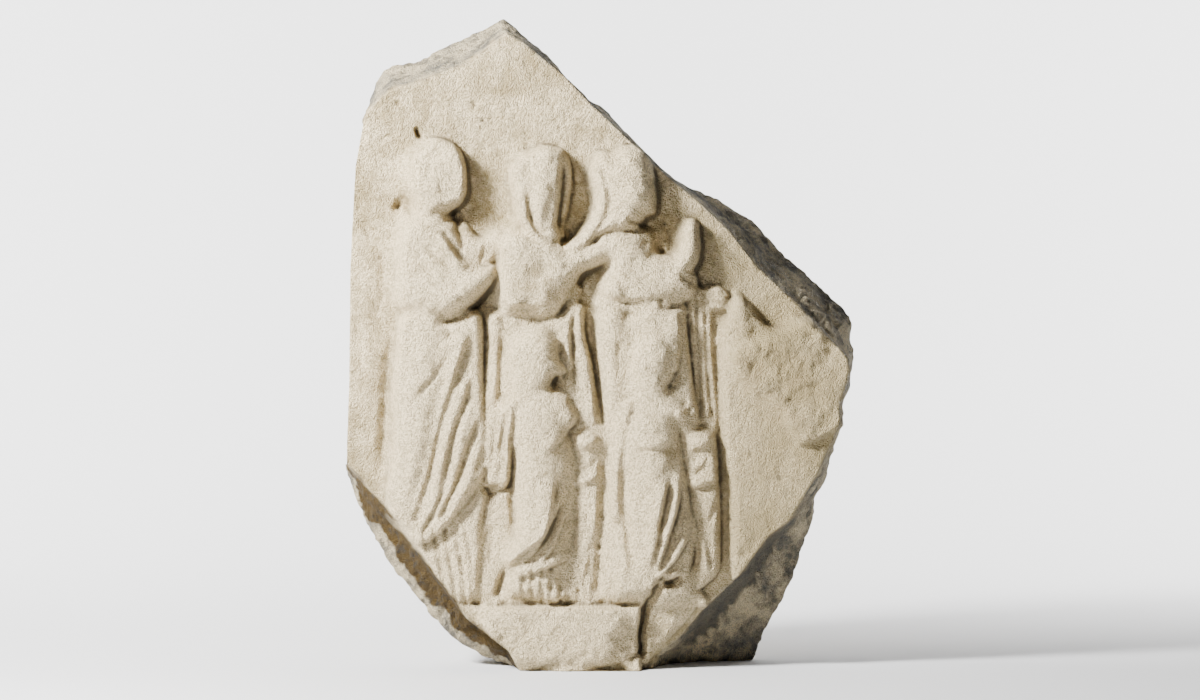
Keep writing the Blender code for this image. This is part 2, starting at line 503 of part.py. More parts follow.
def left_adult(relief):
    """Turned to the right, wrapped in a mantle that falls in long folds."""
    collar = Form(relief)
    collar.mass([(-138, 449), (-122, 433), (-112, 434), (-100, 440), (-98, 420), (-112, 398),
                 (-135, 402), (-145, 425)], 0.6 * ADULT, 8)
    for edge in range(-136, -118, 6):
        collar.fold([(edge + 5, 428), (edge + 3, 416), (edge, 402)], 4, 0.35 * FOLD)
    collar.lay(SOFT_FILLET)
    skirt = Form(relief)
    skirt.mass([(-200, 356), (-206, 320), (-209, 280), (-209, 240), (-208, 212), (-218, 176),
                (-200, 139), (-178, 109), (-160, FEET), (-122, FEET), (-114, 149), (-110, 185),
                (-111, 245), (-115, 299), (-117, 352), (-140, 366), (-165, 356)],
               0.8 * ADULT, 12, 13)
    skirt.limb([(-170, 345, 26, 0.92 * ADULT), (-180, 290, 28, 1.02 * ADULT),
                (-184, 240, 24, 1.04 * ADULT), (-192, 195, 20, 0.98 * ADULT),
                (-200, 160, 14, 0.85 * ADULT)])
    skirt.step([(-190, 135), (-173, 184), (-158, 244), (-140, 304), (-128, 340)], 24, 1.3 * FOLD, 0.1)
    skirt.step([(-180, 134), (-160, 174), (-146, 234), (-136, 264), (-128, 296)], 12, 1.1 * FOLD, 0.1)
    skirt.step([(-163, 148), (-143, 189), (-134, 219), (-121, 252)], 11, 1.0 * FOLD, 0.1)
    skirt.fold([(-183, 140), (-166, 180), (-152, 240), (-138, 285)], 7, 0.5 * FOLD)
    skirt.fold([(-168, 146), (-150, 186), (-140, 226), (-128, 262)], 6, 0.45 * FOLD)
    skirt.fold([(-152, 160), (-134, 190), (-122, 226)], 6, 0.4 * FOLD)
    skirt.groove([(-145, 325), (-158, 301), (-174, 280), (-192, 262)], 5, 0.35 * FOLD)
    skirt.groove([(-138, 330), (-150, 300), (-160, 270)], 7, 0.25 * FOLD)
    skirt.step([(-184, 122), (-160, 137), (-145, 154), (-130, 172), (-113, 200)], 22, 1.2 * FOLD, 0.08)
    skirt.pleats([(-176, 128), (-168, 100), (-158, FEET)], [(-134, 158), (-127, 110), (-126, FEET)], 4,
                 0.8 * FOLD)
    skirt.lay()
    torso = Form(relief, SOFT_BLEND)
    torso.mass([(-200, 456), (-176, 460), (-155, 452), (-143, 446), (-137, 429), (-128, 411),
                (-114, 402), (-104, 390), (-118, 372), (-142, 354), (-165, 347), (-192, 350),
                (-206, 362), (-213, 389), (-214, 419), (-210, 442)], 0.8 * ADULT, 12, 34)
    torso.limb([(-172, 440, 30, 0.9 * ADULT), (-180, 410, 32, 0.98 * ADULT),
                (-178, 382, 30, 1.05 * ADULT), (-160, 372, 25, 1.12 * ADULT),
                (-140, 376, 20, 1.12 * ADULT), (-122, 387, 14, 1.08 * ADULT),
                (-109, 396, 9, 0.98 * ADULT)])
    torso.groove([(-175, 421), (-158, 408), (-143, 396)], 5, 0.45 * FOLD)
    torso.groove([(-182, 404), (-162, 389)], 5, 0.4 * FOLD)
    torso.fold([(-160, 429), (-146, 414), (-136, 402)], 5, 0.35 * FOLD)
    torso.groove([(-160, 441), (-146, 424), (-136, 404)], 4, 0.55 * FOLD)
    torso.groove([(-208, 409), (-203, 372), (-200, 354)], 5, 0.6 * FOLD)
    torso.groove([(-196, 360), (-178, 352), (-165, 352)], 5, 0.35 * FOLD)
    torso.lay(SOFT_FILLET)
    head = Form(relief, SOFT_BLEND)
    head.mass([(-182, 530), (-165, 531), (-148, 526), (-138, 517), (-133, 502), (-132, 486),
               (-133, 473), (-142, 461), (-160, 452), (-185, 456), (-204, 474), (-212, 500),
               (-202, 522)], 0.84 * HEAD, 6, 46, lean=0.00012, swell=SWELL)
    head.limb([(-166, 486, 24, 0.86 * HEAD), (-166, 456, 23, 0.9 * HEAD),
               (-164, 430, 22, 0.92 * HEAD)])
    head.lay(SOFT_FILLET)
    cuts = Cuts(relief)
    cuts.scoop((-147, 452), (7, 11), 1.3 * FOLD, 20)
    cuts.scoop((-194, 466), (13, 11), 0.8 * FOLD, -20)
    cuts.groove([(-166, 347), (-145, 349), (-125, 362), (-107, 381)], 9, 1.2 * FOLD)
    cuts.groove([(-144, 446), (-138, 430), (-138, 416)], 4, 0.5 * FOLD)


def left_child(relief):
    """In front of the middle adult, with a corner of the mantle hanging from the arm."""
    corner = Form(relief)
    corner.mass([(-106, 240), (-92, 236), (-86, 205), (-88, 184), (-99, 179), (-112, 180), (-120, 186),
                 (-113, 210)], 0.72 * CHILD, 8, 8)
    corner.groove([(-97, 228), (-100, 186)], 5, 0.5 * FOLD)
    corner.groove([(-106, 222), (-111, 188)], 4, 0.35 * FOLD)
    corner.lay()
    body = Form(relief, SOFT_BLEND)
    body.mass([(-96, 268), (-84, 278), (-66, 284), (-48, 282), (-30, 272), (-21, 262), (-20, 248),
               (-28, 236), (-24, 218), (-23, 204), (-27, 165), (-28, 113), (-33, 94), (-33, FEET),
               (-92, FEET), (-102, 84), (-96, 106), (-88, 130), (-86, 165), (-90, 205), (-97, 240)],
              0.84 * CHILD, 14, 12)
    body.limb([(-62, 268, 30, 0.98 * CHILD), (-60, 240, 30, 1.04 * CHILD),
               (-60, 215, 26, 1.02 * CHILD), (-64, 180, 26, 1.06 * CHILD),
               (-68, 145, 22, 1.04 * CHILD), (-82, 112, 15, 0.95 * CHILD)])
    body.limb([(-89, 264, 11, 0.95 * CHILD), (-94, 237, 9, 0.88 * CHILD)])
    body.limb([(-42, 262, 18, 0.98 * CHILD), (-32, 252, 12, 0.96 * CHILD)])
    body.step([(-96, 98), (-84, 112), (-67, 124), (-54, 137), (-47, 161), (-43, 190)], 18,
              1.2 * FOLD, 0.12)
    body.step([(-78, 106), (-60, 124), (-47, 148), (-36, 176)], 9, 0.8 * FOLD)
    body.step([(-60, 106), (-46, 124), (-33, 158)], 8, 0.7 * FOLD)
    body.fold([(-70, 112), (-54, 132), (-42, 160), (-38, 185)], 6, 0.35 * FOLD)
    body.groove([(-94, 262), (-95, 240), (-102, 210)], 5, 0.9 * FOLD)
    body.groove([(-86, 258), (-84, 236)], 4, 0.35 * FOLD)
    body.step([(-50, 219), (-36, 232), (-24, 246)], 14, 0.7 * FOLD)
    body.groove([(-95, 226), (-78, 217)], 4, 0.4 * FOLD)
    body.groove([(-86, 190), (-90, 170)], 5, 0.3 * FOLD)
    body.step([(-86, 92), (-60, 100), (-42, 107), (-27, 112)], 12, 1.0 * FOLD, 0.05)
    body.pleats([(-84, 94), (-84, 80), (-84, FEET)], [(-32, 106), (-32, 80), (-32, FEET)], 6,
                0.9 * FOLD)
    body.lay(SOFT_FILLET)
    head = Form(relief, SOFT_BLEND)
    head.mass([(-102, 312), (-94, 333), (-76, 344), (-55, 344), (-42, 334), (-37, 320), (-33, 304),
               (-40, 292), (-47, 285), (-60, 274), (-88, 274), (-104, 292)], 0.95 * CHILD, 10, 30,
              swell=SWELL)
    head.limb([(-70, 318, 24, 1.02 * CHILD), (-68, 300, 26, 1.0 * CHILD),
               (-68, 274, 24, 1.0 * CHILD)])
    head.lay(SOFT_FILLET)
    cuts = Cuts(relief)
    cuts.groove([(-38, 328), (-36, 312), (-32, 298), (-38, 290)], 6, 0.9 * FOLD, 0.1)
    cuts.scoop((-45, 286), (5, 8), 1.1 * FOLD, -20)
    cuts.groove([(-93, 264), (-94, 248), (-98, 228), (-104, 204)], 4, 0.5 * FOLD)
    cuts.groove([(-86, 226), (-89, 205), (-92, 180), (-88, 150), (-90, 128), (-97, 106)], 6, 0.7 * FOLD)
    cuts.groove([(-105, 342), (-107, 310), (-106, 275)], 5, 0.35 * FOLD)
    cuts.groove([(-118, 184), (-110, 178), (-98, 178), (-88, 186)], 5, 0.8 * FOLD, 0.1)
    cuts.groove([(-20, 246), (-28, 232), (-22, 205), (-24, 150), (-27, 108)], 6, 0.9 * FOLD, 0.1)
    cuts.groove([(-93, 102), (-99, 88), (-103, 72)], 6, 1.1 * FOLD)


def right_child(relief):
    """In front of the right adult, with a foot to the right."""
    body = Form(relief, SOFT_BLEND)
    body.mass([(16, 250), (24, 268), (42, 279), (62, 279), (76, 270), (89, 266), (90, 252), (80, 238),
               (84, 209), (88, 189), (95, 155), (96, 130), (90, 104), (84, 84), (80, FEET),
               (6, FEET), (5, 109), (8, 169), (8, 209), (12, 235)], 0.82 * CHILD, 15, 12)
    body.limb([(52, 264, 28, 0.98 * CHILD), (52, 240, 30, 1.04 * CHILD),
               (52, 210, 27, 1.02 * CHILD), (54, 170, 27, 1.06 * CHILD),
               (52, 130, 26, 1.04 * CHILD), (46, 100, 18, 0.95 * CHILD)])
    body.limb([(66, 262, 14, 1.0 * CHILD), (79, 256, 11, 0.98 * CHILD)])
    body.limb([(27, 262, 11, 0.95 * CHILD), (20, 236, 9, 0.88 * CHILD),
               (16, 200, 8, 0.8 * CHILD), (15, 150, 8, 0.76 * CHILD)])
    body.step([(50, 104), (56, 127), (61, 154), (68, 190)], 14, 1.0 * FOLD, 0.1)
    body.step([(57, 98), (68, 134), (78, 164), (82, 202)], 11, 1.1 * FOLD, 0.1)
    body.step([(58, 92), (76, 112), (90, 134)], 10, 0.9 * FOLD, 0.1)
    body.fold([(60, 108), (68, 140), (76, 176)], 5, 0.4 * FOLD)
    body.fold([(70, 104), (82, 132), (88, 160)], 5, 0.4 * FOLD)
    body.groove([(22, 256), (18, 232), (13, 212)], 5, 0.8 * FOLD)
    body.groove([(28, 226), (25, 190), (26, 150), (28, 110)], 7, 0.45 * FOLD)
    body.step([(26, 220), (50, 222), (66, 224), (76, 234)], 12, 0.45 * FOLD)
    body.step([(50, 82), (68, 90), (84, 96)], 12, 1.1 * FOLD, 0.05)
    body.lay(SOFT_FILLET)
    foot = Form(relief)
    foot.limb([(66, 80, 9, 0.8 * CHILD), (78, 83, 9, 0.78 * CHILD),
               (90, 76, 8, 0.62 * CHILD), (102, 68, 6, 0.45 * CHILD)])
    foot.groove([(88, 84), (94, 76), (96, 66)], 3, 0.3 * FOLD)
    foot.groove([(97, 76), (101, 68)], 2.5, 0.3 * FOLD)
    foot.lay()
    head = Form(relief, SOFT_BLEND)
    head.mass([(18, 312), (26, 330), (44, 340), (62, 338), (73, 328), (77, 312), (74, 297), (68, 287),
               (60, 276), (40, 272), (22, 288)], 0.92 * CHILD, 10, 26, swell=SWELL)
    head.limb([(52, 314, 24, 1.0 * CHILD), (50, 296, 24, 0.98 * CHILD),
               (50, 272, 24, 1.0 * CHILD)])
    head.lay(SOFT_FILLET)
    cuts = Cuts(relief)
    cuts.groove([(80, 246), (81, 230), (86, 200), (92, 165), (98, 140), (95, 112), (87, 90)], 6,
                1.0 * FOLD, 0.08)
    cuts.groove([(4, 215), (3, 165), (0, 120), (-3, 72)], 6, 0.9 * FOLD, 0.08)
    cuts.groove([(14, 262), (12, 240), (9, 215)], 5, 0.5 * FOLD)
    cuts.groove([(26, 210), (24, 180), (26, 150), (30, 118), (34, 92)], 6, 0.5 * FOLD)
    cuts.groove([(22, 330), (18, 312), (20, 292)], 6, 0.3 * FOLD)
    cuts.groove([(77, 300), (72, 290), (67, 278)], 6, 0.9 * FOLD)


def ledge(relief):
    """The base line that the figures stand on, broken off at both ends."""
    top = LEDGE_HEIGHT / SQUARE
    shelf = Form(relief)
    shelf.mass([(-150, top), (-120, top), (-40, top), (30, top), (42, top - 4), (40, 30), (36, -40),
                (-60, -60), (-170, -20), (-165, 45)], LEDGE, 6)
    shelf.rough([(-150, 66), (40, 66), (45, -20), (-120, -20)], 0.3 * BREAK_ROUGHNESS, 16, 12, 3)
    shelf.lay()
    cuts = Cuts(relief)
    cuts.groove([(84, 94), (62, 88), (50, 72), (42, 45), (36, 20), (30, 4)], 8, 1.9 * FOLD, 0.05)
    cuts.scoop((28, 30), (9, 24), 0.9 * FOLD, -15)
    cuts.scoop((10, 2), (26, 7), 1.6 * FOLD)
    cuts.scoop((-60, 2), (20, 6), 1.2 * FOLD, 10)
    cuts.scoop((-95, 8), (22, 7), 1.4 * FOLD, -30)
    cuts.scoop((-128, 62), (14, 8), 0.9 * FOLD, -40)
    cuts.rough([(44, 80), (92, 60), (60, 12), (44, 20)], 0.5 * BREAK_ROUGHNESS, 14, 55, 6)


def wear_lit_sides(relief):
    """Softens the sides of the forms that face left, which wear has rounded most."""
    slope = np.gradient(soften(relief.height, 3), axis=1) / CELL
    facing_left = np.clip(slope / WORN_SLOPE, 0, 1)
    facing_left = soften(facing_left * facing_left * (3 - 2 * facing_left), 2)
    relief.height += (soften(relief.height, WEAR_PASSES) - relief.height) * facing_left


def break_off_sides(relief):
    """Outside the edge of the carved face the stone falls away to the rim at the back. It falls
    steeply at first at the lower right, and less far at the lower left."""
    u, v = relief.u, relief.v
    outside = np.clip(-depth_inside(u, v, np.asarray(FACE_EDGE, float)), 0, None)
    outline = np.asarray(LEFT_SIDE[::-1] + RIGHT_SIDE[1:], float)
    left = np.abs(depth_inside(u, v, outline))
    share = outside / np.maximum(outside + left, 1e-6)
    undercut = np.clip((u - 60) / 40, 0, 1) * np.clip((190 - v) / 60, 0, 1)
    steep = np.interp(share, [0, STEEP_WIDTH, 1], [0, STEEP_FALL, 1])
    fall = (1 - undercut) * share + undercut * steep
    shallow = np.clip((-40 - u) / 60, 0, 1) * np.clip((210 - v) / 80, 0, 1)
    fall *= 1 - SHALLOW * shallow
    broken = np.clip(outside / 6, 0, 1) * np.clip(left / 5, 0, 1)
    uneven = BREAK_ROUGHNESS * grain(u + 0.4 * v, v, 34, 21) * broken
    carved = np.clip(1 - outside / 4, 0, 1)
    ground = GROUND_ROUGHNESS * grain(u, v, 60, 30)
    relief.height = (relief.height + ground) * carved - (SLAB - RIM) * fall + uneven


def carve(relief):
    block_and_strands(relief)
    small_figures(relief)
    right_adult(relief)
    middle_adult(relief)
    left_adult(relief)
    left_child(relief)
    right_child(relief)
    ledge(relief)
    wear_lit_sides(relief)
    break_off_sides(relief)


def slab_mesh(relief, name):
    """Closes the carved face with a rim and a flat back, and cuts it level at the underside."""
    rows, columns = relief.u.shape
    spread = np.clip(-relief.height, 0, SLAB - RIM) / EYE_DISTANCE
    v = relief.v + spread * (relief.v - EYE_LEVEL) * np.clip(relief.v / LEVEL_ZONE, 0, 1)
    u = relief.u * (1 + spread)
    front = np.stack([u * SQUARE, -relief.height, v * SQUARE], axis=-1).reshape(-1, 3)
    back_u = u * (BACK_WIDTH[0] + BACK_WIDTH[1] * grain(u, v, 40, 41))
    back_v = v * (BACK_HEIGHT[0] + BACK_HEIGHT[1] * grain(u, v, 50, 43))
    back = np.stack([back_u * SQUARE, np.full(u.shape, SLAB), back_v * SQUARE],
                    axis=-1).reshape(-1, 3)
    number = np.arange(rows * columns).reshape(rows, columns)
    quads = np.stack([number[:-1, :-1], number[:-1, 1:], number[1:, 1:], number[1:, :-1]],
                     axis=-1).reshape(-1, 4)
    loop = np.concatenate([number[0, :-1], number[:-1, -1], number[-1, :0:-1], number[:0:-1, 0]])
    after = np.roll(loop, -1)
    far = rows * columns
    rim = np.stack([after, loop, loop + far, after + far], axis=-1)
    faces = np.vstack([quads, quads[:, ::-1] + far, rim])
    mesh = bpy.data.meshes.new(name)
    mesh.from_pydata(np.vstack([front, back]).tolist(), [], faces.tolist())
    mesh.validate()
    return mesh


def marble():
    material = bpy.data.materials.new("marble")
    material.use_nodes = True
    shader = material.node_tree.nodes["Principled BSDF"]
    shader.inputs["Base Color"].default_value = (*MARBLE, 1)
    shader.inputs["Roughness"].default_value = 0.8
    shader.inputs["Metallic"].default_value = 0.0
    return material


def relief_fragment():
    relief = Relief()
    carve(relief)
    fragment = bpy.data.objects.new("relief_fragment", slab_mesh(relief, "relief_fragment"))
    bpy.context.scene.collection.objects.link(fragment)
    fragment.data.materials.append(marble())
    facets = fragment.modifiers.new("facets", "DECIMATE")
    facets.ratio = TRIANGLES / (2 * len(fragment.data.polygons))
    return fragment


def centre_on_origin(fragment):
    """Puts the middle of the evaluated box over the origin, standing on the ground."""
    bpy.context.view_layer.update()
    evaluated = fragment.evaluated_get(bpy.context.evaluated_depsgraph_get())
    corners = np.array([vertex.co for vertex in evaluated.data.vertices])
    low, high = corners.min(axis=0), corners.max(axis=0)
    fragment.location = (-0.5 * (low[0] + high[0]), -0.5 * (low[1] + high[1]), -low[2])


def main():
    for other in list(bpy.data.objects):
        bpy.data.objects.remove(other, do_unlink=True)
    centre_on_origin(relief_fragment())


main()
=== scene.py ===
"""Broken marble relief with three draped adults and two children standing on a ledge.

The carving is drawn on a grid of squares laid over the face of the slab: u runs to the right from
the middle line, v runs up from the underside, and heights are in metres, forward from the ground.
"""
import math

import bpy
import numpy as np
from bpy.props import FloatProperty, FloatVectorProperty, PointerProperty
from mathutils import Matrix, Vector


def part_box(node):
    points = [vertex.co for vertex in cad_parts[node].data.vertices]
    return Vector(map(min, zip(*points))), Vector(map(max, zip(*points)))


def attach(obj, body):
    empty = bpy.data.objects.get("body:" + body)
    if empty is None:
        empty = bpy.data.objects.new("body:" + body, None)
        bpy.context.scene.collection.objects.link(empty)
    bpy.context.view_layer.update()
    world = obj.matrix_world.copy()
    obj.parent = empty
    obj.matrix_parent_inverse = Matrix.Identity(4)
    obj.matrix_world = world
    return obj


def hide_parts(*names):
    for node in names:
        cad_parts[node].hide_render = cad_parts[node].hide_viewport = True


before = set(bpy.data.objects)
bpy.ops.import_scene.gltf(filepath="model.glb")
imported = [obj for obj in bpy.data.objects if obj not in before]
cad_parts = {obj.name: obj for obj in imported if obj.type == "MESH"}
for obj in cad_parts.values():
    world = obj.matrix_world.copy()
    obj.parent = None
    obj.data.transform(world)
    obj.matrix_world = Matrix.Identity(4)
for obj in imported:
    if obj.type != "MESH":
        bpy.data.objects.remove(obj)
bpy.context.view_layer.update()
NODE_LOW, NODE_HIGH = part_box("relief_fragment")

bl_info = {
    "name": "Marble relief fragment",
    "version": (1, 0, 0),
    "blender": (4, 5, 0),
    "location": "3D View > Sidebar > Relief",
    "description": "Carves a broken marble relief and sets it up in a studio",
    "category": "Object",
}

SQUARE = 0.526 / 658
PEAK = 650
ROWS, COLUMNS = 650, 520
# Parts behind the ground look smaller to an eye at this distance and at this height in squares,
# so they are spread to show where the eye sees them. The underside stays level.
EYE_DISTANCE = 2.37
EYE_LEVEL = 319
LEVEL_ZONE = 60
FAR = 1e6
TINY = 1e-6

# The mesh: size of its first cells, how much of the underside is cut off level, triangles in all,
# the share of them that the broken sides keep, and the gap to the box
CELL = 0.00095
LEVEL_CUT = 0.0012
TRIANGLES = 196000
SIDE_SHARE = 0.06
BOX_GAP = 0.00002

# Forms start below the ground, and meet it and each other in a fillet
ABSENT = -1.0
BURIED = -0.002
FILLET = 0.0018
KNUCKLE = 0.002

# Shares of the broken sides: how wide and deep the steep part at the lower right is, and how much
# less the lower left falls
STEEP_WIDTH = 0.3
STEEP_FALL = 0.62
SHALLOW = 0.55

# The outer outline, down the left side and down the right side of the peak
LEFT_SIDE = [(-98, 650), (-113, 641), (-150, 623), (-180, 606), (-205, 603), (-216, 598),
             (-225, 585), (-236, 551), (-245, 500), (-250, 400), (-251, 289), (-254, 200),
             (-252, 192), (-235, 147), (-205, 98), (-187, 75), (-160, 45), (-140, 24), (-115, 9),
             (-96, 3), (-84, -14)]
RIGHT_SIDE = [(-98, 650), (-85, 641), (-70, 628), (-50, 612), (-32, 589), (-10, 567), (0, 563),
              (30, 533), (60, 502), (76, 489), (110, 475), (150, 450), (180, 420), (200, 401),
              (230, 373), (246, 358), (254, 344), (251, 329), (254, 314), (250, 282), (243, 262),
              (244, 244), (235, 222), (228, 197), (218, 171), (208, 137), (193, 94), (183, 70),
              (168, 44), (158, 19), (150, -14)]

# The edge of the carved face, where the broken sides begin
FACE_EDGE = [(-212, 577), (-170, 590), (-130, 607), (-94, 634), (-75, 624), (-32, 589), (-10, 565),
             (30, 527), (65, 494), (100, 465), (130, 436), (157, 401), (190, 370), (220, 339),
             (245, 312), (248, 299), (238, 264), (238, 244), (215, 194), (188, 149), (168, 135),
             (137, 94), (100, 59), (78, 32), (55, 14), (45, -40), (-60, -40), (-90, 21), (-132, 54),
             (-163, 94), (-192, 129), (-222, 169), (-238, 191), (-254, 206), (-275, 240),
             (-275, 480), (-245, 525), (-232, 557)]

# Brown patches on broken forms: place, radii, turn in degrees and strength
RUST = [(-65, 388, 18, 20, 20, 0.7), (66, 216, 10, 9, 0, 0.7), (52, 145, 9, 6, 20, 0.5),
        (150, 300, 14, 20, 30, 0.5), (200, 300, 22, 22, 0, 0.35), (178, 262, 22, 14, -40, 0.4),
        (-108, 396, 8, 12, 20, 0.4), (-190, 560, 34, 20, 30, 0.25), (-235, 300, 16, 90, 0, 0.35),
        (-152, 468, 10, 12, 0, 0.3), (-195, 466, 13, 12, 0, 0.6), (30, 340, 30, 12, 0, 0.2)]

# The studio in metres: the floor, the backdrop that it bends up into, and the soft lights with
# their places, what they are aimed at, their sizes and the settings that hold their strength
FLOOR_WIDTH, FLOOR_DEPTH, FLOOR_MIDDLE = 14, 7, -1.0
BACKDROP_HEIGHT, BEND, BEND_STEPS = 5, 1.6, 24
STONE_MIDDLE = (0, 0, 0.26)
LIGHTS = [("key_light", (-0.95, -0.66, 0.98), STONE_MIDDLE, 0.26, "key"),
          ("fill_light", (0.6, -3.0, 0.9), STONE_MIDDLE, 2.2, "fill"),
          ("backdrop_light", (-1.5, 0.5, 1.6), (-1.5, 2.5, 0.9), 1.2, "backdrop"),
          ("backdrop_light", (1.5, 0.5, 1.6), (1.5, 2.5, 0.9), 1.2, "backdrop")]
AIR_LIGHT = 0.02
SENSOR = 36
PHOTO_WIDTH = 1200


def length(name, description, default, low=0.0):
    return FloatProperty(name=name, description=description, default=default, min=low,
                         subtype="DISTANCE", unit="LENGTH", precision=4)


def power(name, description, default):
    return FloatProperty(name=name, description=description, default=default, min=0.0,
                         unit="POWER")


def colour(name, description, default):
    return FloatVectorProperty(name=name, description=description, default=default, min=0, max=1,
                               size=3, subtype="COLOR")


class ReliefSizes(bpy.types.PropertyGroup):
    """How far the forms stand out of the slab, and how rough the stone is."""
    slab: length("Slab", "Thickness from the carved ground to the back", 0.078, 0.03)
    rim: length("Rim", "Thickness left at the broken sides", 0.014, 0.005)
    ledge: length("Ledge", "How far the ledge stands out", 0.026)
    ledge_height: length("Ledge height", "Height of the ledge above the underside", 0.053, 0.01)
    head: length("Heads", "How far the heads of the adults stand out", 0.021)
    adult: length("Adults", "How far the bodies of the adults stand out", 0.021)
    child: length("Children", "How far the children stand out", 0.026)
    small: length("Small figures", "How far the low figures stand out", 0.0135)
    strands: length("Strands", "How far the hanging strands stand out", 0.006)
    block: length("Block", "How far the block at the right stands out", 0.012)
    mass: length("Broken mass", "How far the broken mass on the block stands out", 0.017)
    fold: length("Folds", "Depth of a deep fold", 0.0078)
    breaks: length("Breaks", "Roughness of the broken stone", 0.004)
    skin: length("Worn skin", "Roughness of the worn carved face", 0.0007)


class MarbleColours(bpy.types.PropertyGroup):
    """Colours of the stone, its dirt and its stains."""
    clean: colour("Clean marble", "Where the stone is clean", (0.86, 0.71, 0.44))
    # Also painted over the right of the stone, partly weathering and partly painted shade
    dull: colour("Dull marble", "Where the stone is weathered", (0.385, 0.30, 0.15))
    # Grime and painted shade in hollows and beside the forms; also the specks and the stain's
    # streaks
    dirt_and_shade: colour("Dirt", "In hollows and folds", (0.14, 0.105, 0.055))
    rust: colour("Brown stain", "Brown patches on broken forms", (0.33, 0.245, 0.12))
    grey: colour("Broken stone", "The broken sides", (0.145, 0.135, 0.11))
    ochre: colour("Ochre stain", "The stain on the lower left break", (0.062, 0.034, 0.0003))


class StudioLooks(bpy.types.PropertyGroup):
    """Floor, lights and camera."""
    floor: colour("Floor", "Colour of the floor and backdrop", (0.68, 0.68, 0.68))
    distance: length("Camera distance", "From the carved ground to the camera", EYE_DISTANCE, 0.5)
    key: power("Key light", "Strength of the soft light from the upper left", 92.0)
    fill: power("Fill light", "Strength of the soft light from the front", 0.7)
    backdrop: power("Backdrop light", "Strength of each light on the backdrop", 190.0)


def ramp(values, start, width):
    """0 at the start and 1 a width further on. A negative width runs the other way."""
    return np.clip((values - start) / width, 0, 1)


def eased(share):
    return share * share * (3 - 2 * share)


def turned(u, v, centre, radii, turn):
    """Places across and along a turned oval, counted in its radii from its centre."""
    c, s = np.cos(np.radians(turn)), np.sin(np.radians(turn))
    u, v = u - centre[0], v - centre[1]
    return (u * c + v * s) / radii[0], (v * c - u * s) / radii[1]


def curve(points, steps=6, closed=False):
    """A smooth line through the points. Further columns, such as a radius, are carried along."""
    p = np.asarray(points, float)
    if closed:
        p = np.vstack([p[-1], p, p[0], p[1]])
    else:
        p = np.vstack([2 * p[0] - p[1], p, 2 * p[-1] - p[-2]])
    t = np.linspace(0, 1, steps, endpoint=False)[:, None]
    pieces = []
    for a, b, c, d in zip(p, p[1:], p[2:], p[3:]):
        pieces.append(0.5 * (2 * b + (c - a) * t + (2 * a - 5 * b + 4 * c - d) * t ** 2
                             + (3 * b - a - 3 * c + d) * t ** 3))
    if not closed:
        pieces.append(p[-2:-1])
    return np.vstack(pieces)


def lattice(i, j, seed):
    """A fixed value from -1 to 1 for each corner of a grid, mixed from its place and the seed."""
    n = (i * 374761393 + j * 668265263 + seed * 974634777) & 0xFFFFFFFF
    n = ((n ^ (n >> 13)) * 1274126177) & 0xFFFFFFFF
    return ((n ^ (n >> 16)) & 0xFFFF) / 32767.5 - 1.0


def grain(u, v, size, seed, octaves=3):
    """Smooth uneven values from about -1 to 1, with lumps of the given size and finer ones."""
    total = np.zeros(np.shape(u))
    for octave in range(octaves):
        x, y = u / size * 2 ** octave, v / size * 2 ** octave
        i, j = np.floor(x).astype(np.int64), np.floor(y).astype(np.int64)
        x, y = eased(x - i), eased(y - j)
        low = lattice(i, j, seed + octave) * (1 - x) + lattice(i + 1, j, seed + octave) * x
        high = lattice(i, j + 1, seed + octave) * (1 - x) + lattice(i + 1, j + 1, seed + octave) * x
        total += (low * (1 - y) + high * y) / 2 ** octave
    return total


def depth_inside(u, v, line):
    """Distance to a closed line, negative outside it."""
    inside = np.zeros(u.shape, bool)
    nearest = np.full(u.shape, FAR)
    for (ax, ay), (bx, by) in zip(line, np.roll(line, -1, axis=0)):
        dx, dy = bx - ax, by - ay
        t = np.clip(((u - ax) * dx + (v - ay) * dy) / (dx * dx + dy * dy), 0, 1)
        nearest = np.minimum(nearest, (u - ax - t * dx) ** 2 + (v - ay - t * dy) ** 2)
        if ay != by:
            inside ^= ((ay > v) != (by > v)) & (u < dx * (v - ay) / dy + ax)
    return np.where(inside, 1, -1) * np.sqrt(nearest)


def along(u, v, line):
    """Distance to a line, share of its length, side of it and carried values at the nearest point.
    The side is 1 on the left of the line's run and -1 on its right."""
    run = np.concatenate([[0], np.cumsum(np.hypot(*np.diff(line[:, :2], axis=0).T))])
    nearest = np.full(u.shape, FAR)
    share, side = np.zeros(u.shape), np.ones(u.shape)
    carried = np.zeros(u.shape + (line.shape[1] - 2,))
    for a, b, start, end in zip(line, line[1:], run, run[1:]):
        dx, dy = b[:2] - a[:2]
        t = np.clip(((u - a[0]) * dx + (v - a[1]) * dy) / max(dx * dx + dy * dy, 1e-9), 0, 1)
        off_u, off_v = u - a[0] - t * dx, v - a[1] - t * dy
        distance = np.hypot(off_u, off_v)
        closer = distance < nearest
        nearest = np.where(closer, distance, nearest)
        share = np.where(closer, (start + t * (end - start)) / run[-1], share)
        side = np.where(closer, np.where(dx * off_v > dy * off_u, 1, -1), side)
        if carried.shape[-1]:
            carried = np.where(closer[..., None], a[2:] + (b[2:] - a[2:]) * t[..., None], carried)
    return nearest, share, side, carried


def soften(height, times):
    """Blurs the heights a little, as wear does."""
    for _ in range(times):
        padded = np.pad(height, 1, mode="edge")
        height = 0.25 * padded[:-2, 1:-1] + 0.5 * padded[1:-1, 1:-1] + 0.25 * padded[2:, 1:-1]
        padded = np.pad(height, 1, mode="edge")
        height = 0.25 * padded[1:-1, :-2] + 0.5 * padded[1:-1, 1:-1] + 0.25 * padded[1:-1, 2:]
    return height


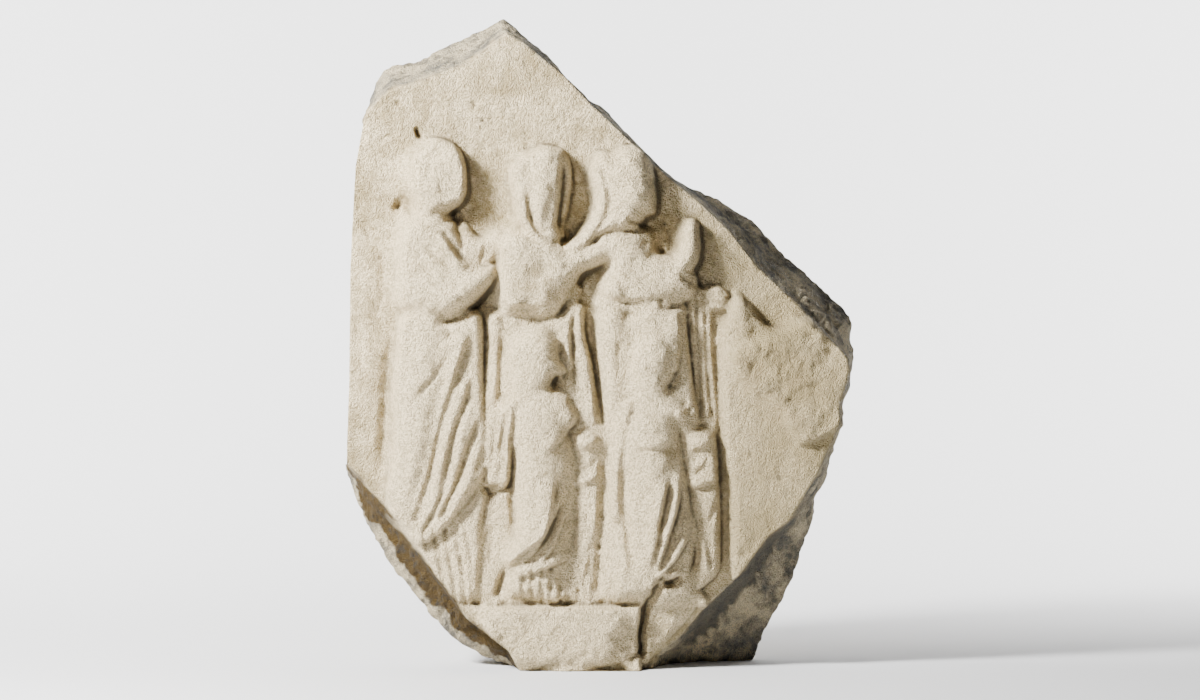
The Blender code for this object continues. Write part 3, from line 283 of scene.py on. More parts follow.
class Relief:
    """The carved face: a height over the ground for each point (u, v) of a grid."""

    def __init__(self, share, v, sizes):
        left, right = np.asarray(LEFT_SIDE), np.asarray(RIGHT_SIDE)
        self.start = np.interp(-v, -left[:, 1], left[:, 0])
        self.end = np.maximum(np.interp(-v, -right[:, 1], right[:, 0]), self.start + 3)
        self.u = self.start + (self.end - self.start) * share
        self.v = v
        self.sizes = sizes
        self.feet = sizes.ledge_height / SQUARE - 3
        self.height = np.zeros(v.shape)

    def near(self, line, reach):
        """The part of the grid within reach of a line."""
        v = self.v[:, 0]
        rows = slice(*np.searchsorted(v, [line[:, 1].min() - reach, line[:, 1].max() + reach]))
        if rows.start == rows.stop:
            return slice(0, 0), slice(0, 0)
        low, high = self.u[rows].min(axis=0), self.u[rows].max(axis=0)
        columns = np.nonzero((high > line[:, 0].min() - reach)
                             & (low < line[:, 0].max() + reach))[0]
        return rows, slice(columns[0], columns[-1] + 1)

    def at(self, values, u, v):
        """Reads a grid of values at any point (u, v)."""
        rows, columns = values.shape
        v = np.clip(v, 0, PEAK)
        start = np.interp(v, self.v[:, 0], self.start[:, 0])
        end = np.interp(v, self.v[:, 0], self.end[:, 0])
        x = np.clip((u - start) / (end - start), 0, 1) * (columns - 1)
        y = v / PEAK * (rows - 1)
        i, j = np.minimum(x.astype(int), columns - 2), np.minimum(y.astype(int), rows - 2)
        x, y = x - i, y - j
        low = values[j, i] * (1 - x) + values[j, i + 1] * x
        high = values[j + 1, i] * (1 - x) + values[j + 1, i + 1] * x
        return low * (1 - y) + high * y


class Form:
    """One carved form: built up by masses and limbs, cut by folds, then laid on the relief. Tops
    are shares of the form's own height, depths and folds shares of a deep fold, and roughness a
    share of the broken stone's."""

    def __init__(self, relief, top=1.0, blend=0.003):
        self.relief, self.top, self.blend = relief, top, blend
        self.deep = relief.sizes.fold
        self.height = np.full(relief.height.shape, ABSENT)

    def place(self, line, reach):
        where = self.relief.near(np.asarray(line, float), reach)
        return where, self.relief.u[where], self.relief.v[where]

    def beside(self, line, reach, fade):
        """The grid near a line, the distance from it, the side of it, and how far it has faded in
        from its ends."""
        line = curve(line)
        where, u, v = self.place(line, reach)
        distance, share, side, _ = along(u, v, line)
        return where, distance, side, ramp(np.minimum(share, 1 - share), 0, fade)

    def join(self, where, top, rounding, inside):
        old, shape = self.height[where], BURIED + (top - BURIED) * rounding
        joined = 0.5 * (old + shape + np.sqrt((old - shape) ** 2 + self.blend ** 2))
        self.height[where] = np.where(inside & (old > ABSENT), joined, np.where(inside, shape, old))

    def mass(self, outline, top, edge=14.0, soft=None, lean=0.0, swell=0.0):
        """A form with its edge rounded over the given width, and over the soft width on its left.
        Lean raises its right side, and swell its middle."""
        line = curve(outline, 4, closed=True)
        where, u, v = self.place(line, 1)
        inside = depth_inside(u, v, line)
        leftness = np.clip(1.2 - 2.0 * (u - line[:, 0].min()) / np.ptp(line[:, 0]), 0, 1)
        leftness = leftness if soft else 0 * leftness
        share = np.clip(inside / (edge + ((soft or edge) - edge) * leftness), 0, 1)
        crown = top * self.top + lean * (u - line[:, 0].mean()) + swell * ramp(inside, 0, 40)
        steep, gentle = np.sqrt(1 - (1 - share) ** 2), eased(share)
        self.join(where, crown, steep + (gentle - steep) * leftness, inside > 0)

    def limb(self, spine):
        """A rounded form along a line of (u, v, radius, top)."""
        spine = np.asarray(spine, float)
        spine[:, 3] *= self.top
        line = curve(spine)
        where, u, v = self.place(line, line[:, 2].max())
        distance, _, _, carried = along(u, v, line)
        radius, top = carried[..., 0], carried[..., 1]
        self.join(where, top, np.sqrt(np.clip(1 - (distance / np.maximum(radius, 1)) ** 2, 0, 1)),
                  distance < radius)

    def oval(self, centre, radii, top):
        where, u, v = self.place([centre], max(radii))
        reach = np.hypot(*turned(u, v, centre, radii, 0.0))
        self.join(where, top * self.top, np.clip(1 - reach ** 2.4, 0, 1) ** 0.5, reach < 1)

    def change(self, where, amount):
        part = self.height[where]
        self.height[where] = np.where(part > ABSENT, part + amount, part)

    def groove(self, line, width, depth, fade=0.2):
        """A fold's hollow. A negative depth makes a ridge."""
        where, distance, _, ends = self.beside(line, width, fade)
        self.change(where, -depth * self.deep * np.clip(1 - distance / width, 0, 1) ** 1.3 * ends)

    def fold(self, line, width, height, fade=0.2):
        """A rounded fold that stands up."""
        where, distance, _, ends = self.beside(line, width, fade)
        self.change(where, height * self.deep * np.cos(0.5 * np.pi * ramp(distance, 0, width))
                    * np.sqrt(ends))

    def step(self, line, reach, height, fade=0.15):
        """A cloth edge. What lies on the left of the line's run stands up and sinks back over the
        reach, and a hollow follows the line on its right."""
        where, distance, side, ends = self.beside(line, reach, fade)
        over = distance * side
        edge = eased(np.clip(0.5 + over / (2 * max(1.5, 0.16 * reach)), 0, 1))
        upper = 0.55 * edge * np.cos(0.5 * np.pi * ramp(over, 0, reach))
        hollow = 0.45 * (1 - edge) * np.clip(1 + over / (0.7 * reach), 0, 1)
        self.change(where, height * self.deep * ends * (upper - hollow) * (distance < reach))

    def pleats(self, left, right, count, depth):
        """Hanging pleats between two lines that run down."""
        left, right = curve(left), curve(right)
        where, u, v = self.place(np.vstack([left, right]), 1)
        start = np.interp(-v, -left[:, 1], left[:, 0])
        end = np.interp(-v, -right[:, 1], right[:, 0])
        across = (u - start) / (end - start)
        top, foot = max(left[0, 1], right[0, 1]), min(left[-1, 1], right[-1, 1])
        down = (top - v) / (top - foot)
        inside = (across > 0) & (across < 1) & (down > 0) & (down < 1)
        fade = ramp(np.minimum(down, 1 - down), 0, 0.1)
        wave = np.abs(np.sin(np.pi * count * across)) ** 0.8 - 1
        self.change(where, np.where(inside, depth * self.deep * wave * fade, 0))

    def rough(self, outline, amount, lump=12, seed=1, edge=10):
        """Breaks up the surface inside an outline."""
        line = curve(outline, 4, closed=True)
        where, u, v = self.place(line, 1)
        uneven = grain(u, v, lump, seed, 4) - 0.35 * np.abs(grain(u, v, 0.45 * lump, seed + 7, 3))
        self.change(where, amount * self.relief.sizes.breaks * uneven
                    * ramp(depth_inside(u, v, line), 0, edge))

    def scoop(self, centre, radii, depth, turn=0.0):
        """A rounded hollow, or a chip where it is small."""
        where, u, v = self.place([centre], 2.4 * max(radii))
        across, up = turned(u, v, centre, radii, turn)
        self.change(where, -depth * self.deep * np.exp(-across ** 2 - up ** 2))

    def lay(self, fillet=FILLET):
        """Joins the form to the relief with a fillet where they meet."""
        under, over = self.relief.height, self.height
        self.relief.height = 0.5 * (under + over + np.sqrt((under - over) ** 2 + fillet ** 2))


class Cuts(Form):
    """Hollows cut into everything that has been laid so far."""

    def change(self, where, amount):
        self.relief.height[where] += amount


def block_and_strands(relief):
    """The plain block at the right, the broken mass on it, the hanging strands and a small hand."""
    size = relief.sizes
    block = Form(relief, size.block)
    block.mass([(132, 380), (140, 380), (157, 364), (172, 345), (203, 354), (250, 330), (268, 270),
            (235, 200), (195, 120), (150, 80), (128, 88), (124, 130), (124, 170), (116, 240),
            (116, 300), (118, 345)], 1.0, 8, 12)
    block.groove([(140, 383), (157, 366), (170, 347), (185, 344), (203, 354)], 7, 1.0)
    block.fold([(136, 374), (140, 350), (146, 330)], 10, 0.5)
    block.groove([(123, 117), (150, 116)], 4, 0.25)
    block.rough([(122, 160), (140, 160), (142, 130), (124, 128)], 0.2, 5, 41, 4)
    block.lay()
    broken = Form(relief, size.mass)
    broken.mass([(130, 331), (128, 299), (145, 276), (170, 259), (188, 234), (203, 221), (236, 236),
            (258, 262), (258, 312), (222, 342), (204, 352), (180, 341), (148, 337)], 1.12, 9, 9)
    broken.rough([(125, 340), (125, 250), (203, 215), (262, 262), (262, 345)], 0.55, 19, 5, 4)
    broken.rough([(130, 330), (130, 270), (175, 256), (190, 300), (160, 335)], 0.4, 8, 6, 6)
    broken.fold([(195, 348), (210, 340), (224, 330)], 6, 0.5)
    broken.lay()
    strands = Form(relief)
    strands.mass([(86, 382), (104, 381), (112, 372), (112, 330), (117, 270), (118, 236), (98, 238),
            (92, 319)], size.strands, 5)
    strands.groove([(97, 372), (99, 309), (102, 250)], 4, 0.7, 0.1)
    strands.groove([(105, 376), (107, 309), (113, 245)], 4, 0.6, 0.1)
    for row in range(3):
        strands.limb([(108, 378 - 8 * row, 4, size.strands + KNUCKLE),
                (118, 378 - 8 * row, 5, size.strands + 2 * KNUCKLE),
                (126, 374 - 7 * row, 4, size.strands + KNUCKLE)])
    strands.lay()


def small_figures(relief):
    """The two low figures between the large ones."""
    size, feet = relief.sizes, relief.feet
    left = Form(relief, size.small)
    left.mass([(-27, 236), (-14, 241), (-2, 236), (4, 224), (3, 192), (1, 150), (-2, 110),
            (-5, feet), (-30, feet), (-28, 150)], 1.0, 8)
    left.oval((-13, 229), (16, 15), 1.5)
    left.step([(-24, 197), (-12, 203), (-4, 214)], 10, 0.4)
    left.step([(-24, 218), (-12, 223), (-2, 229)], 8, 0.4)
    left.step([(-24, 183), (-14, 186), (1, 193)], 14, 0.9, 0.02)
    left.groove([(-16, 180), (-13, 154), (-7, 134), (-17, 103)], 6, 0.5)
    left.step([(-17, 92), (-9, 122), (-4, 145), (-1, 172)], 8, 0.7)
    left.groove([(-8, 120), (-7, 92), (-7, feet)], 4, 0.7, 0.05)
    left.groove([(-23, 90), (-22, feet)], 4, 0.5, 0.05)
    left.groove([(-15, 92), (-15, feet)], 3, 0.4, 0.05)
    left.lay()
    right = Form(relief, size.small)
    right.mass([(80, 232), (92, 241), (108, 240), (117, 226), (120, 186), (121, 120), (119, 98),
            (108, 86), (95, 82), (90, 130)], 1.0, 9)
    right.oval((98, 229), (19, 15), 1.35)
    right.fold([(96, 206), (108, 204), (116, 212)], 8, 0.4)
    right.step([(88, 220), (100, 222), (113, 230)], 10, 0.4)
    right.step([(89, 195), (101, 204), (110, 216)], 10, 0.4)
    right.step([(90, 181), (104, 184), (119, 190)], 16, 0.9, 0.02)
    right.step([(110, 97), (104, 130), (99, 150), (96, 178)], 12, 0.6)
    right.groove([(118, 170), (108, 145)], 5, 0.4)
    right.lay()


def right_adult(relief):
    """Head turned away, mantle round the waist and a hand raised in prayer."""
    size, feet = relief.sizes, relief.feet
    skirt = Form(relief, size.adult)
    skirt.mass([(-2, 360), (-7, 335), (-6, 305), (-4, 275), (1, 240), (4, 215), (1, 165), (-1, 120),
            (-3, feet), (90, feet), (100, 149), (102, 241), (96, 275), (90, 324), (86, 366),
            (45, 362)], 0.78, 22, 13, swell=0.002)
    skirt.limb([(50, 352, 26, 0.98), (54, 318, 27, 1.02), (50, 285, 22, 0.9)])
    skirt.limb([(14, 350, 18, 0.9), (14, 310, 17, 0.9), (16, 262, 14, 0.86), (16, 200, 12, 0.8)])
    skirt.step([(68, 277), (77, 301), (80, 334), (77, 362)], 20, 1.0)
    skirt.step([(101, 240), (94, 285), (89, 320), (84, 362)], 12, 0.9)
    skirt.groove([(8, 100), (10, 160), (12, 220)], 7, 0.3)
    skirt.groove([(30, 340), (32, 310), (28, 280)], 9, 0.25)
    skirt.lay()
    torso = Form(relief, size.adult, 0.005)
    torso.mass([(-28, 412), (-18, 426), (-6, 440), (12, 448), (36, 447), (50, 441), (56, 430),
            (60, 418), (70, 409), (86, 408), (97, 394), (97, 374), (86, 366), (66, 357), (45, 352),
            (20, 350), (0, 355), (-10, 367), (-8, 388), (-2, 402), (-14, 406)], 1.06, 24, 24,
            swell=0.003)
    torso.limb([(62, 402, 13, 1.0), (76, 400, 13, 1.05), (86, 409, 13, 1.08), (90, 422, 12, 1.06),
            (90, 433, 11, 1.0), (91, 442, 9, 0.9)])
    torso.groove([(82, 438), (81, 424), (76, 414)], 4, 0.45)
    torso.fold([(-9, 371), (6, 361), (28, 357), (50, 358), (72, 364)], 8, 0.55, 0.12)
    torso.groove([(-10, 377), (8, 369), (28, 365), (52, 366)], 5, 0.6)
    torso.groove([(-2, 356), (18, 349), (45, 350)], 5, 0.5)
    torso.groove([(60, 372), (63, 359)], 5, 0.6)
    torso.groove([(78, 392), (88, 388), (96, 384)], 6, 0.6)
    torso.scoop((44, 429), (26, 9), 0.9, -40)
    torso.rough([(-30, 425), (20, 446), (85, 420), (90, 370), (40, 350), (-15, 360)], 0.3, 15, 9)
    torso.lay(0.0025)
    head = Form(relief, size.head, 0.004)
    head.mass([(-7, 500), (-6, 512), (4, 519), (12, 517), (22, 523), (34, 523), (45, 517),
            (52, 504), (56, 486), (58, 468), (56, 455), (47, 450), (38, 438), (14, 430), (-20, 418),
            (-28, 414), (-28, 424), (-10, 442), (1, 462), (-3, 482)], 1.05, 18, 14, swell=0.003)
    head.limb([(30, 500, 24, 1.12), (34, 474, 23, 1.16)])
    head.limb([(3, 510, 8, 0.7), (-2, 498, 9, 0.9), (1, 482, 9, 0.98), (3, 464, 9, 1.0),
            (-4, 444, 9, 1.0), (-16, 428, 10, 1.0), (-28, 418, 10, 0.95)])
    head.groove([(10, 512), (8, 498), (10, 482), (14, 462)], 6, 0.25)
    head.rough([(10, 525), (50, 520), (60, 452), (20, 440), (8, 470)], 0.3, 11, 19, 6)
    head.lay(0.0022)
    cuts = Cuts(relief)
    cuts.groove([(26, 448), (40, 444), (52, 436)], 5, 0.9)
    cuts.groove([(60, 452), (66, 444), (70, 430), (69, 418)], 5, 0.6)
    cuts.groove([(14, 397), (18, 388), (23, 376)], 2.5, 0.45, 0.1)
    cuts.rough([(44, 440), (60, 440), (68, 416), (58, 402), (44, 412)], 0.45, 7, 39, 6)


def middle_adult(relief):
    """Veiled, with the head tilted."""
    size, feet = relief.sizes, relief.feet
    skirt = Form(relief, size.adult)
    skirt.mass([(-112, 362), (-116, 330), (-116, 299), (-112, 260), (-112, 200), (-120, 150),
            (-130, feet), (14, feet), (16, 215), (4, 250), (-6, 304), (-14, 334), (-18, 366),
            (-55, 352)], 0.6, 10, 10)
    skirt.limb([(-104, 350, 8, 0.7), (-107, 300, 8, 0.72), (-108, 250, 9, 0.72),
            (-112, 205, 9, 0.75)])
    skirt.groove([(-25, 363), (-27, 340), (-26, 310), (-25, 277)], 5, 0.9)
    skirt.limb([(-24, 380, 6, 0.5), (-34, 345, 8, 0.62), (-38, 305, 8, 0.6)])
    skirt.fold([(-32, 340), (-33, 310), (-30, 280)], 6, 0.4)
    skirt.step([(-4, 240), (-5, 264), (-9, 304), (-15, 334), (-20, 362)], 16, 0.7)
    skirt.groove([(-97, 335), (-99, 300), (-100, 262)], 5, 0.5)
    skirt.step([(-128, 84), (-119, 120), (-112, 150), (-109, 180)], 12, 0.8)
    skirt.groove([(-112, 100), (-104, 150)], 5, 0.4)
    skirt.lay()
    torso = Form(relief, size.adult, 0.005)
    torso.mass([(-116, 430), (-104, 441), (-92, 448), (-70, 447), (-50, 438), (-36, 429),
            (-22, 424), (-8, 428), (3, 414), (0, 405), (-13, 402), (-20, 389), (-30, 371),
            (-40, 354), (-54, 346), (-76, 344), (-98, 343), (-110, 356), (-113, 380), (-115, 408)],
            1.04, 24, 22, swell=0.004)
    torso.limb([(-34, 404, 16, 1.0), (-12, 412, 14, 1.02), (8, 418, 14, 1.02), (24, 412, 13, 0.98)])
    torso.groove([(-104, 424), (-101, 410), (-104, 396)], 5, 0.9)
    torso.groove([(-108, 368), (-90, 360), (-66, 359), (-44, 364)], 5, 0.4)
    torso.groove([(-28, 420), (-34, 406), (-32, 396)], 9, 0.35)
    torso.scoop((-62, 398), (16, 12), 0.5, 20)
    torso.rough([(-115, 440), (-60, 438), (-2, 424), (-20, 390), (-40, 350), (-110, 345)], 0.35, 14,
            3)
    torso.lay(0.0025)
    head = Form(relief, size.head, 0.004)
    head.mass([(-93, 500), (-87, 512), (-73, 519), (-50, 523), (-37, 519), (-29, 507), (-28, 489),
            (-30, 470), (-33, 455), (-36, 443), (-36, 430), (-44, 422), (-60, 424), (-84, 436),
            (-99, 441), (-89, 458), (-92, 480)], 0.96, 15, 18, swell=0.002)
    head.limb([(-54, 508, 16, 1.08), (-56, 490, 17, 1.18), (-58, 470, 15, 1.2),
            (-60, 452, 12, 1.14), (-60, 444, 9, 1.02)])
    head.limb([(-80, 498, 12, 1.02), (-78, 474, 11, 1.08), (-76, 454, 9, 1.1), (-70, 440, 8, 1.1),
            (-58, 427, 7, 1.06), (-46, 418, 6, 1.0)])
    head.groove([(-36, 507), (-36, 488), (-38, 468), (-41, 445), (-40, 438)], 5, 1.5, 0.2)
    head.groove([(-88, 444), (-74, 431), (-60, 416)], 5, 0.45)
    head.groove([(-71, 476), (-70, 460), (-66, 444), (-54, 427)], 4, 0.75, 0.4)
    head.rough([(-92, 515), (-30, 520), (-42, 455), (-60, 440), (-72, 470)], 0.22, 9, 15, 6)
    head.lay(0.0022)
    cuts = Cuts(relief)
    cuts.groove([(-42, 347), (-34, 360), (-24, 376), (-15, 394), (-4, 402)], 6, 0.8)
    cuts.scoop((-40, 444), (4, 6), 0.9)
    cuts.groove([(-34, 444), (-28, 434), (-14, 430)], 5, 0.5, 0.2)
    cuts.groove([(-40, 441), (-37, 419)], 2.5, 0.4, 0.1)


def left_adult(relief):
    """Turned to the right, wrapped in a mantle that falls in long folds."""
    size, feet = relief.sizes, relief.feet
    collar = Form(relief, size.adult)
    collar.mass([(-138, 449), (-122, 433), (-112, 434), (-100, 440), (-98, 420), (-112, 398),
            (-135, 402), (-145, 425)], 0.6, 8)
    for step in range(3):
        collar.fold([(-131 + 6 * step, 428), (-133 + 6 * step, 416), (-136 + 6 * step, 402)], 4,
                0.35)
    collar.lay(0.003)
    skirt = Form(relief, size.adult)
    skirt.mass([(-200, 356), (-206, 320), (-209, 280), (-209, 240), (-208, 212), (-218, 176),
            (-200, 139), (-178, 109), (-160, feet), (-122, feet), (-114, 149), (-110, 185),
            (-111, 245), (-115, 299), (-117, 352), (-140, 366), (-165, 356)], 0.82, 10, 8)
    skirt.limb([(-170, 345, 26, 0.92), (-180, 290, 28, 1.02), (-184, 240, 24, 1.04),
            (-192, 195, 20, 0.98), (-200, 160, 14, 0.85)])
    skirt.step([(-190, 135), (-173, 184), (-158, 244), (-140, 304), (-128, 340)], 26, 1.15, 0.1)
    skirt.step([(-180, 134), (-160, 174), (-146, 234), (-136, 264), (-128, 296)], 14, 0.95, 0.1)
    skirt.step([(-163, 148), (-143, 189), (-134, 219), (-121, 252)], 13, 0.9, 0.1)
    skirt.fold([(-183, 142), (-166, 182), (-152, 242), (-139, 285)], 7, 0.6)
    skirt.fold([(-172, 144), (-153, 184), (-142, 226), (-130, 266)], 6, 0.55)
    skirt.fold([(-150, 158), (-133, 188), (-121, 224)], 6, 0.5)
    skirt.groove([(-176, 138), (-158, 170), (-148, 200), (-140, 232)], 4, 0.45)
    skirt.groove([(-150, 340), (-158, 290), (-166, 240), (-182, 180), (-194, 150)], 12, 0.3)
    skirt.groove([(-145, 325), (-158, 301), (-174, 280), (-192, 262)], 5, 0.35)
    skirt.groove([(-138, 330), (-150, 300), (-160, 270)], 7, 0.25)
    skirt.step([(-184, 122), (-160, 137), (-145, 154), (-130, 172), (-113, 200)], 22, 1.2, 0.08)
    skirt.pleats([(-176, 128), (-168, 100), (-158, feet)], [(-134, 148), (-127, 110), (-126, feet)],
            4, 0.42)
    skirt.lay()
    torso = Form(relief, size.adult, 0.006)
    torso.mass([(-200, 456), (-176, 460), (-155, 452), (-143, 446), (-137, 429), (-128, 411),
            (-114, 402), (-104, 390), (-118, 372), (-142, 354), (-165, 347), (-192, 350),
            (-206, 362), (-213, 389), (-214, 419), (-210, 442)], 1.04, 20, 24, lean=0.00002,
            swell=0.003)
    torso.limb([(-184, 376, 24, 1.0), (-160, 370, 22, 1.14), (-140, 374, 18, 1.18),
            (-122, 387, 14, 1.12), (-109, 396, 9, 1.0)])
    torso.groove([(-175, 421), (-158, 408), (-143, 396)], 5, 0.45)
    torso.groove([(-182, 404), (-162, 389)], 5, 0.4)
    torso.fold([(-160, 429), (-146, 414), (-134, 400)], 5, 0.45)
    torso.groove([(-160, 441), (-146, 424), (-134, 402)], 5, 0.7)
    torso.groove([(-208, 409), (-203, 372), (-200, 354)], 5, 0.6)
    torso.groove([(-196, 360), (-178, 352), (-165, 352)], 5, 0.35)
    torso.rough([(-208, 440), (-150, 450), (-110, 398), (-160, 350), (-205, 360)], 0.14, 9, 27)
    torso.rough([(-125, 402), (-100, 408), (-98, 382), (-120, 378)], 0.35, 9, 29, 5)
    torso.lay(0.003)
    head = Form(relief, size.head, 0.006)
    head.mass([(-182, 530), (-165, 531), (-148, 526), (-138, 517), (-133, 502), (-132, 486),
            (-133, 473), (-142, 461), (-160, 452), (-185, 456), (-204, 474), (-212, 500),
            (-202, 522)], 0.84, 6, 46, lean=0.00012, swell=0.002)
    head.limb([(-168, 484, 24, 0.82), (-168, 456, 21, 0.74), (-164, 432, 22, 0.86)])
    head.rough([(-200, 530), (-140, 528), (-132, 470), (-160, 455), (-200, 470)], 0.22, 12, 35)
    head.lay(0.003)
    cuts = Cuts(relief)
    cuts.scoop((-148, 450), (9, 10), 1.2, 20)
    cuts.groove([(-172, 452), (-160, 457), (-148, 459), (-138, 466)], 7, 0.8, 0.3)
    cuts.scoop((-194, 466), (13, 11), 0.8, -20)
    cuts.scoop((-202, 462), (4, 5), 0.6)
    cuts.groove([(-166, 347), (-145, 349), (-125, 362), (-107, 381)], 9, 1.2)
    cuts.groove([(-144, 446), (-138, 430), (-138, 416)], 4, 0.5)
    cuts.groove([(-137, 459), (-121, 461)], 2, 0.3, 0.1)
    cuts.scoop((-150, 333), (3, 4), 0.6)
    cuts.groove([(-210, 433), (-200, 436)], 2, 0.4, 0.1)


def left_child(relief):
    """In front of the middle adult, with a corner of the mantle hanging from the arm."""
    size, feet = relief.sizes, relief.feet
    corner = Form(relief, size.child)
    corner.mass([(-104, 268), (-92, 264), (-88, 230), (-85, 203), (-87, 188), (-97, 178),
            (-103, 182), (-110, 179), (-119, 186), (-112, 212), (-107, 240)], 0.7, 7, 8)
    corner.groove([(-96, 250), (-97, 215), (-102, 184)], 5, 0.45)
    corner.groove([(-103, 245), (-106, 215), (-111, 186)], 4, 0.4)
    corner.fold([(-92, 232), (-91, 205), (-92, 188)], 5, 0.3)
    corner.lay()
    body = Form(relief, size.child, 0.005)
    body.mass([(-96, 268), (-84, 278), (-66, 284), (-48, 282), (-30, 272), (-21, 262), (-20, 248),
            (-28, 236), (-24, 218), (-23, 204), (-27, 165), (-28, 113), (-33, 94), (-33, feet),
            (-92, feet), (-102, 84), (-96, 106), (-88, 130), (-86, 165), (-90, 205), (-97, 240)],
            0.9, 28, 18)
    body.limb([(-62, 268, 30, 0.98), (-60, 240, 30, 1.04), (-60, 215, 26, 1.02),
            (-64, 180, 26, 1.06), (-68, 145, 22, 1.04), (-82, 112, 15, 0.95)])
    body.limb([(-89, 264, 11, 0.95), (-94, 237, 9, 0.88)])
    body.limb([(-42, 262, 18, 0.98), (-32, 252, 12, 0.96)])
    body.step([(-96, 98), (-84, 112), (-67, 124), (-54, 137), (-47, 161), (-43, 190)], 18, 1.5,
            0.12)
    body.step([(-78, 106), (-60, 124), (-47, 148), (-36, 176)], 9, 1.1)
    body.step([(-60, 106), (-46, 124), (-33, 158)], 8, 0.9)
    body.fold([(-70, 112), (-54, 132), (-42, 160), (-38, 185)], 6, 0.35)
    body.groove([(-94, 262), (-95, 240), (-102, 210)], 5, 0.9)
    body.groove([(-86, 258), (-84, 236)], 4, 0.35)
    body.step([(-50, 219), (-36, 232), (-24, 246)], 14, 0.7)
    body.groove([(-95, 226), (-78, 217)], 4, 0.4)
    body.groove([(-86, 190), (-90, 170)], 5, 0.3)
    body.step([(-86, 92), (-60, 100), (-42, 107), (-27, 112)], 12, 1.0, 0.05)
    body.pleats([(-86, 92), (-86, 80), (-86, feet)], [(-30, 104), (-30, 80), (-30, feet)], 6, 0.55)
    body.fold([(-30, 74), (-42, 75), (-54, 72)], 7, 0.5)
    body.rough([(-90, 278), (-28, 270), (-26, 180), (-60, 120), (-88, 180)], 0.14, 8, 43)
    body.lay(0.0025)
    head = Form(relief, size.child, 0.006)
    head.mass([(-105, 300), (-103, 320), (-95, 337), (-80, 345), (-60, 346), (-46, 339), (-38, 327),
            (-37, 312), (-32, 300), (-32, 293), (-41, 289), (-46, 281), (-58, 272), (-88, 268),
            (-101, 280)], 1.02, 20, 24)
    head.limb([(-62, 322, 20, 1.04), (-62, 304, 20, 1.06), (-72, 276, 22, 1.0)])
    head.scoop((-84, 300), (8, 5), 0.3, 20)
    head.rough([(-98, 340), (-40, 340), (-38, 295), (-60, 276), (-98, 290)], 0.24, 10, 45, 6)
    head.lay(0.003)
    cuts = Cuts(relief)
    cuts.groove([(-38, 328), (-36, 312), (-32, 298), (-38, 290)], 6, 0.9, 0.1)
    cuts.scoop((-45, 286), (5, 8), 1.1, -20)
    cuts.groove([(-93, 264), (-94, 248), (-98, 228), (-104, 204)], 4, 0.5)
    cuts.groove([(-86, 226), (-88, 205), (-88, 180), (-85, 150), (-87, 122), (-95, 102)], 6, 0.9)
    cuts.groove([(-106, 342), (-109, 310), (-107, 275)], 6, 0.5)
    cuts.groove([(-118, 184), (-110, 178), (-98, 178), (-88, 186)], 5, 0.8, 0.1)
    cuts.groove([(-20, 246), (-28, 232), (-22, 205), (-24, 150), (-27, 108)], 7, 0.7, 0.1)
    cuts.groove([(-93, 102), (-99, 88), (-103, 72)], 6, 1.1)


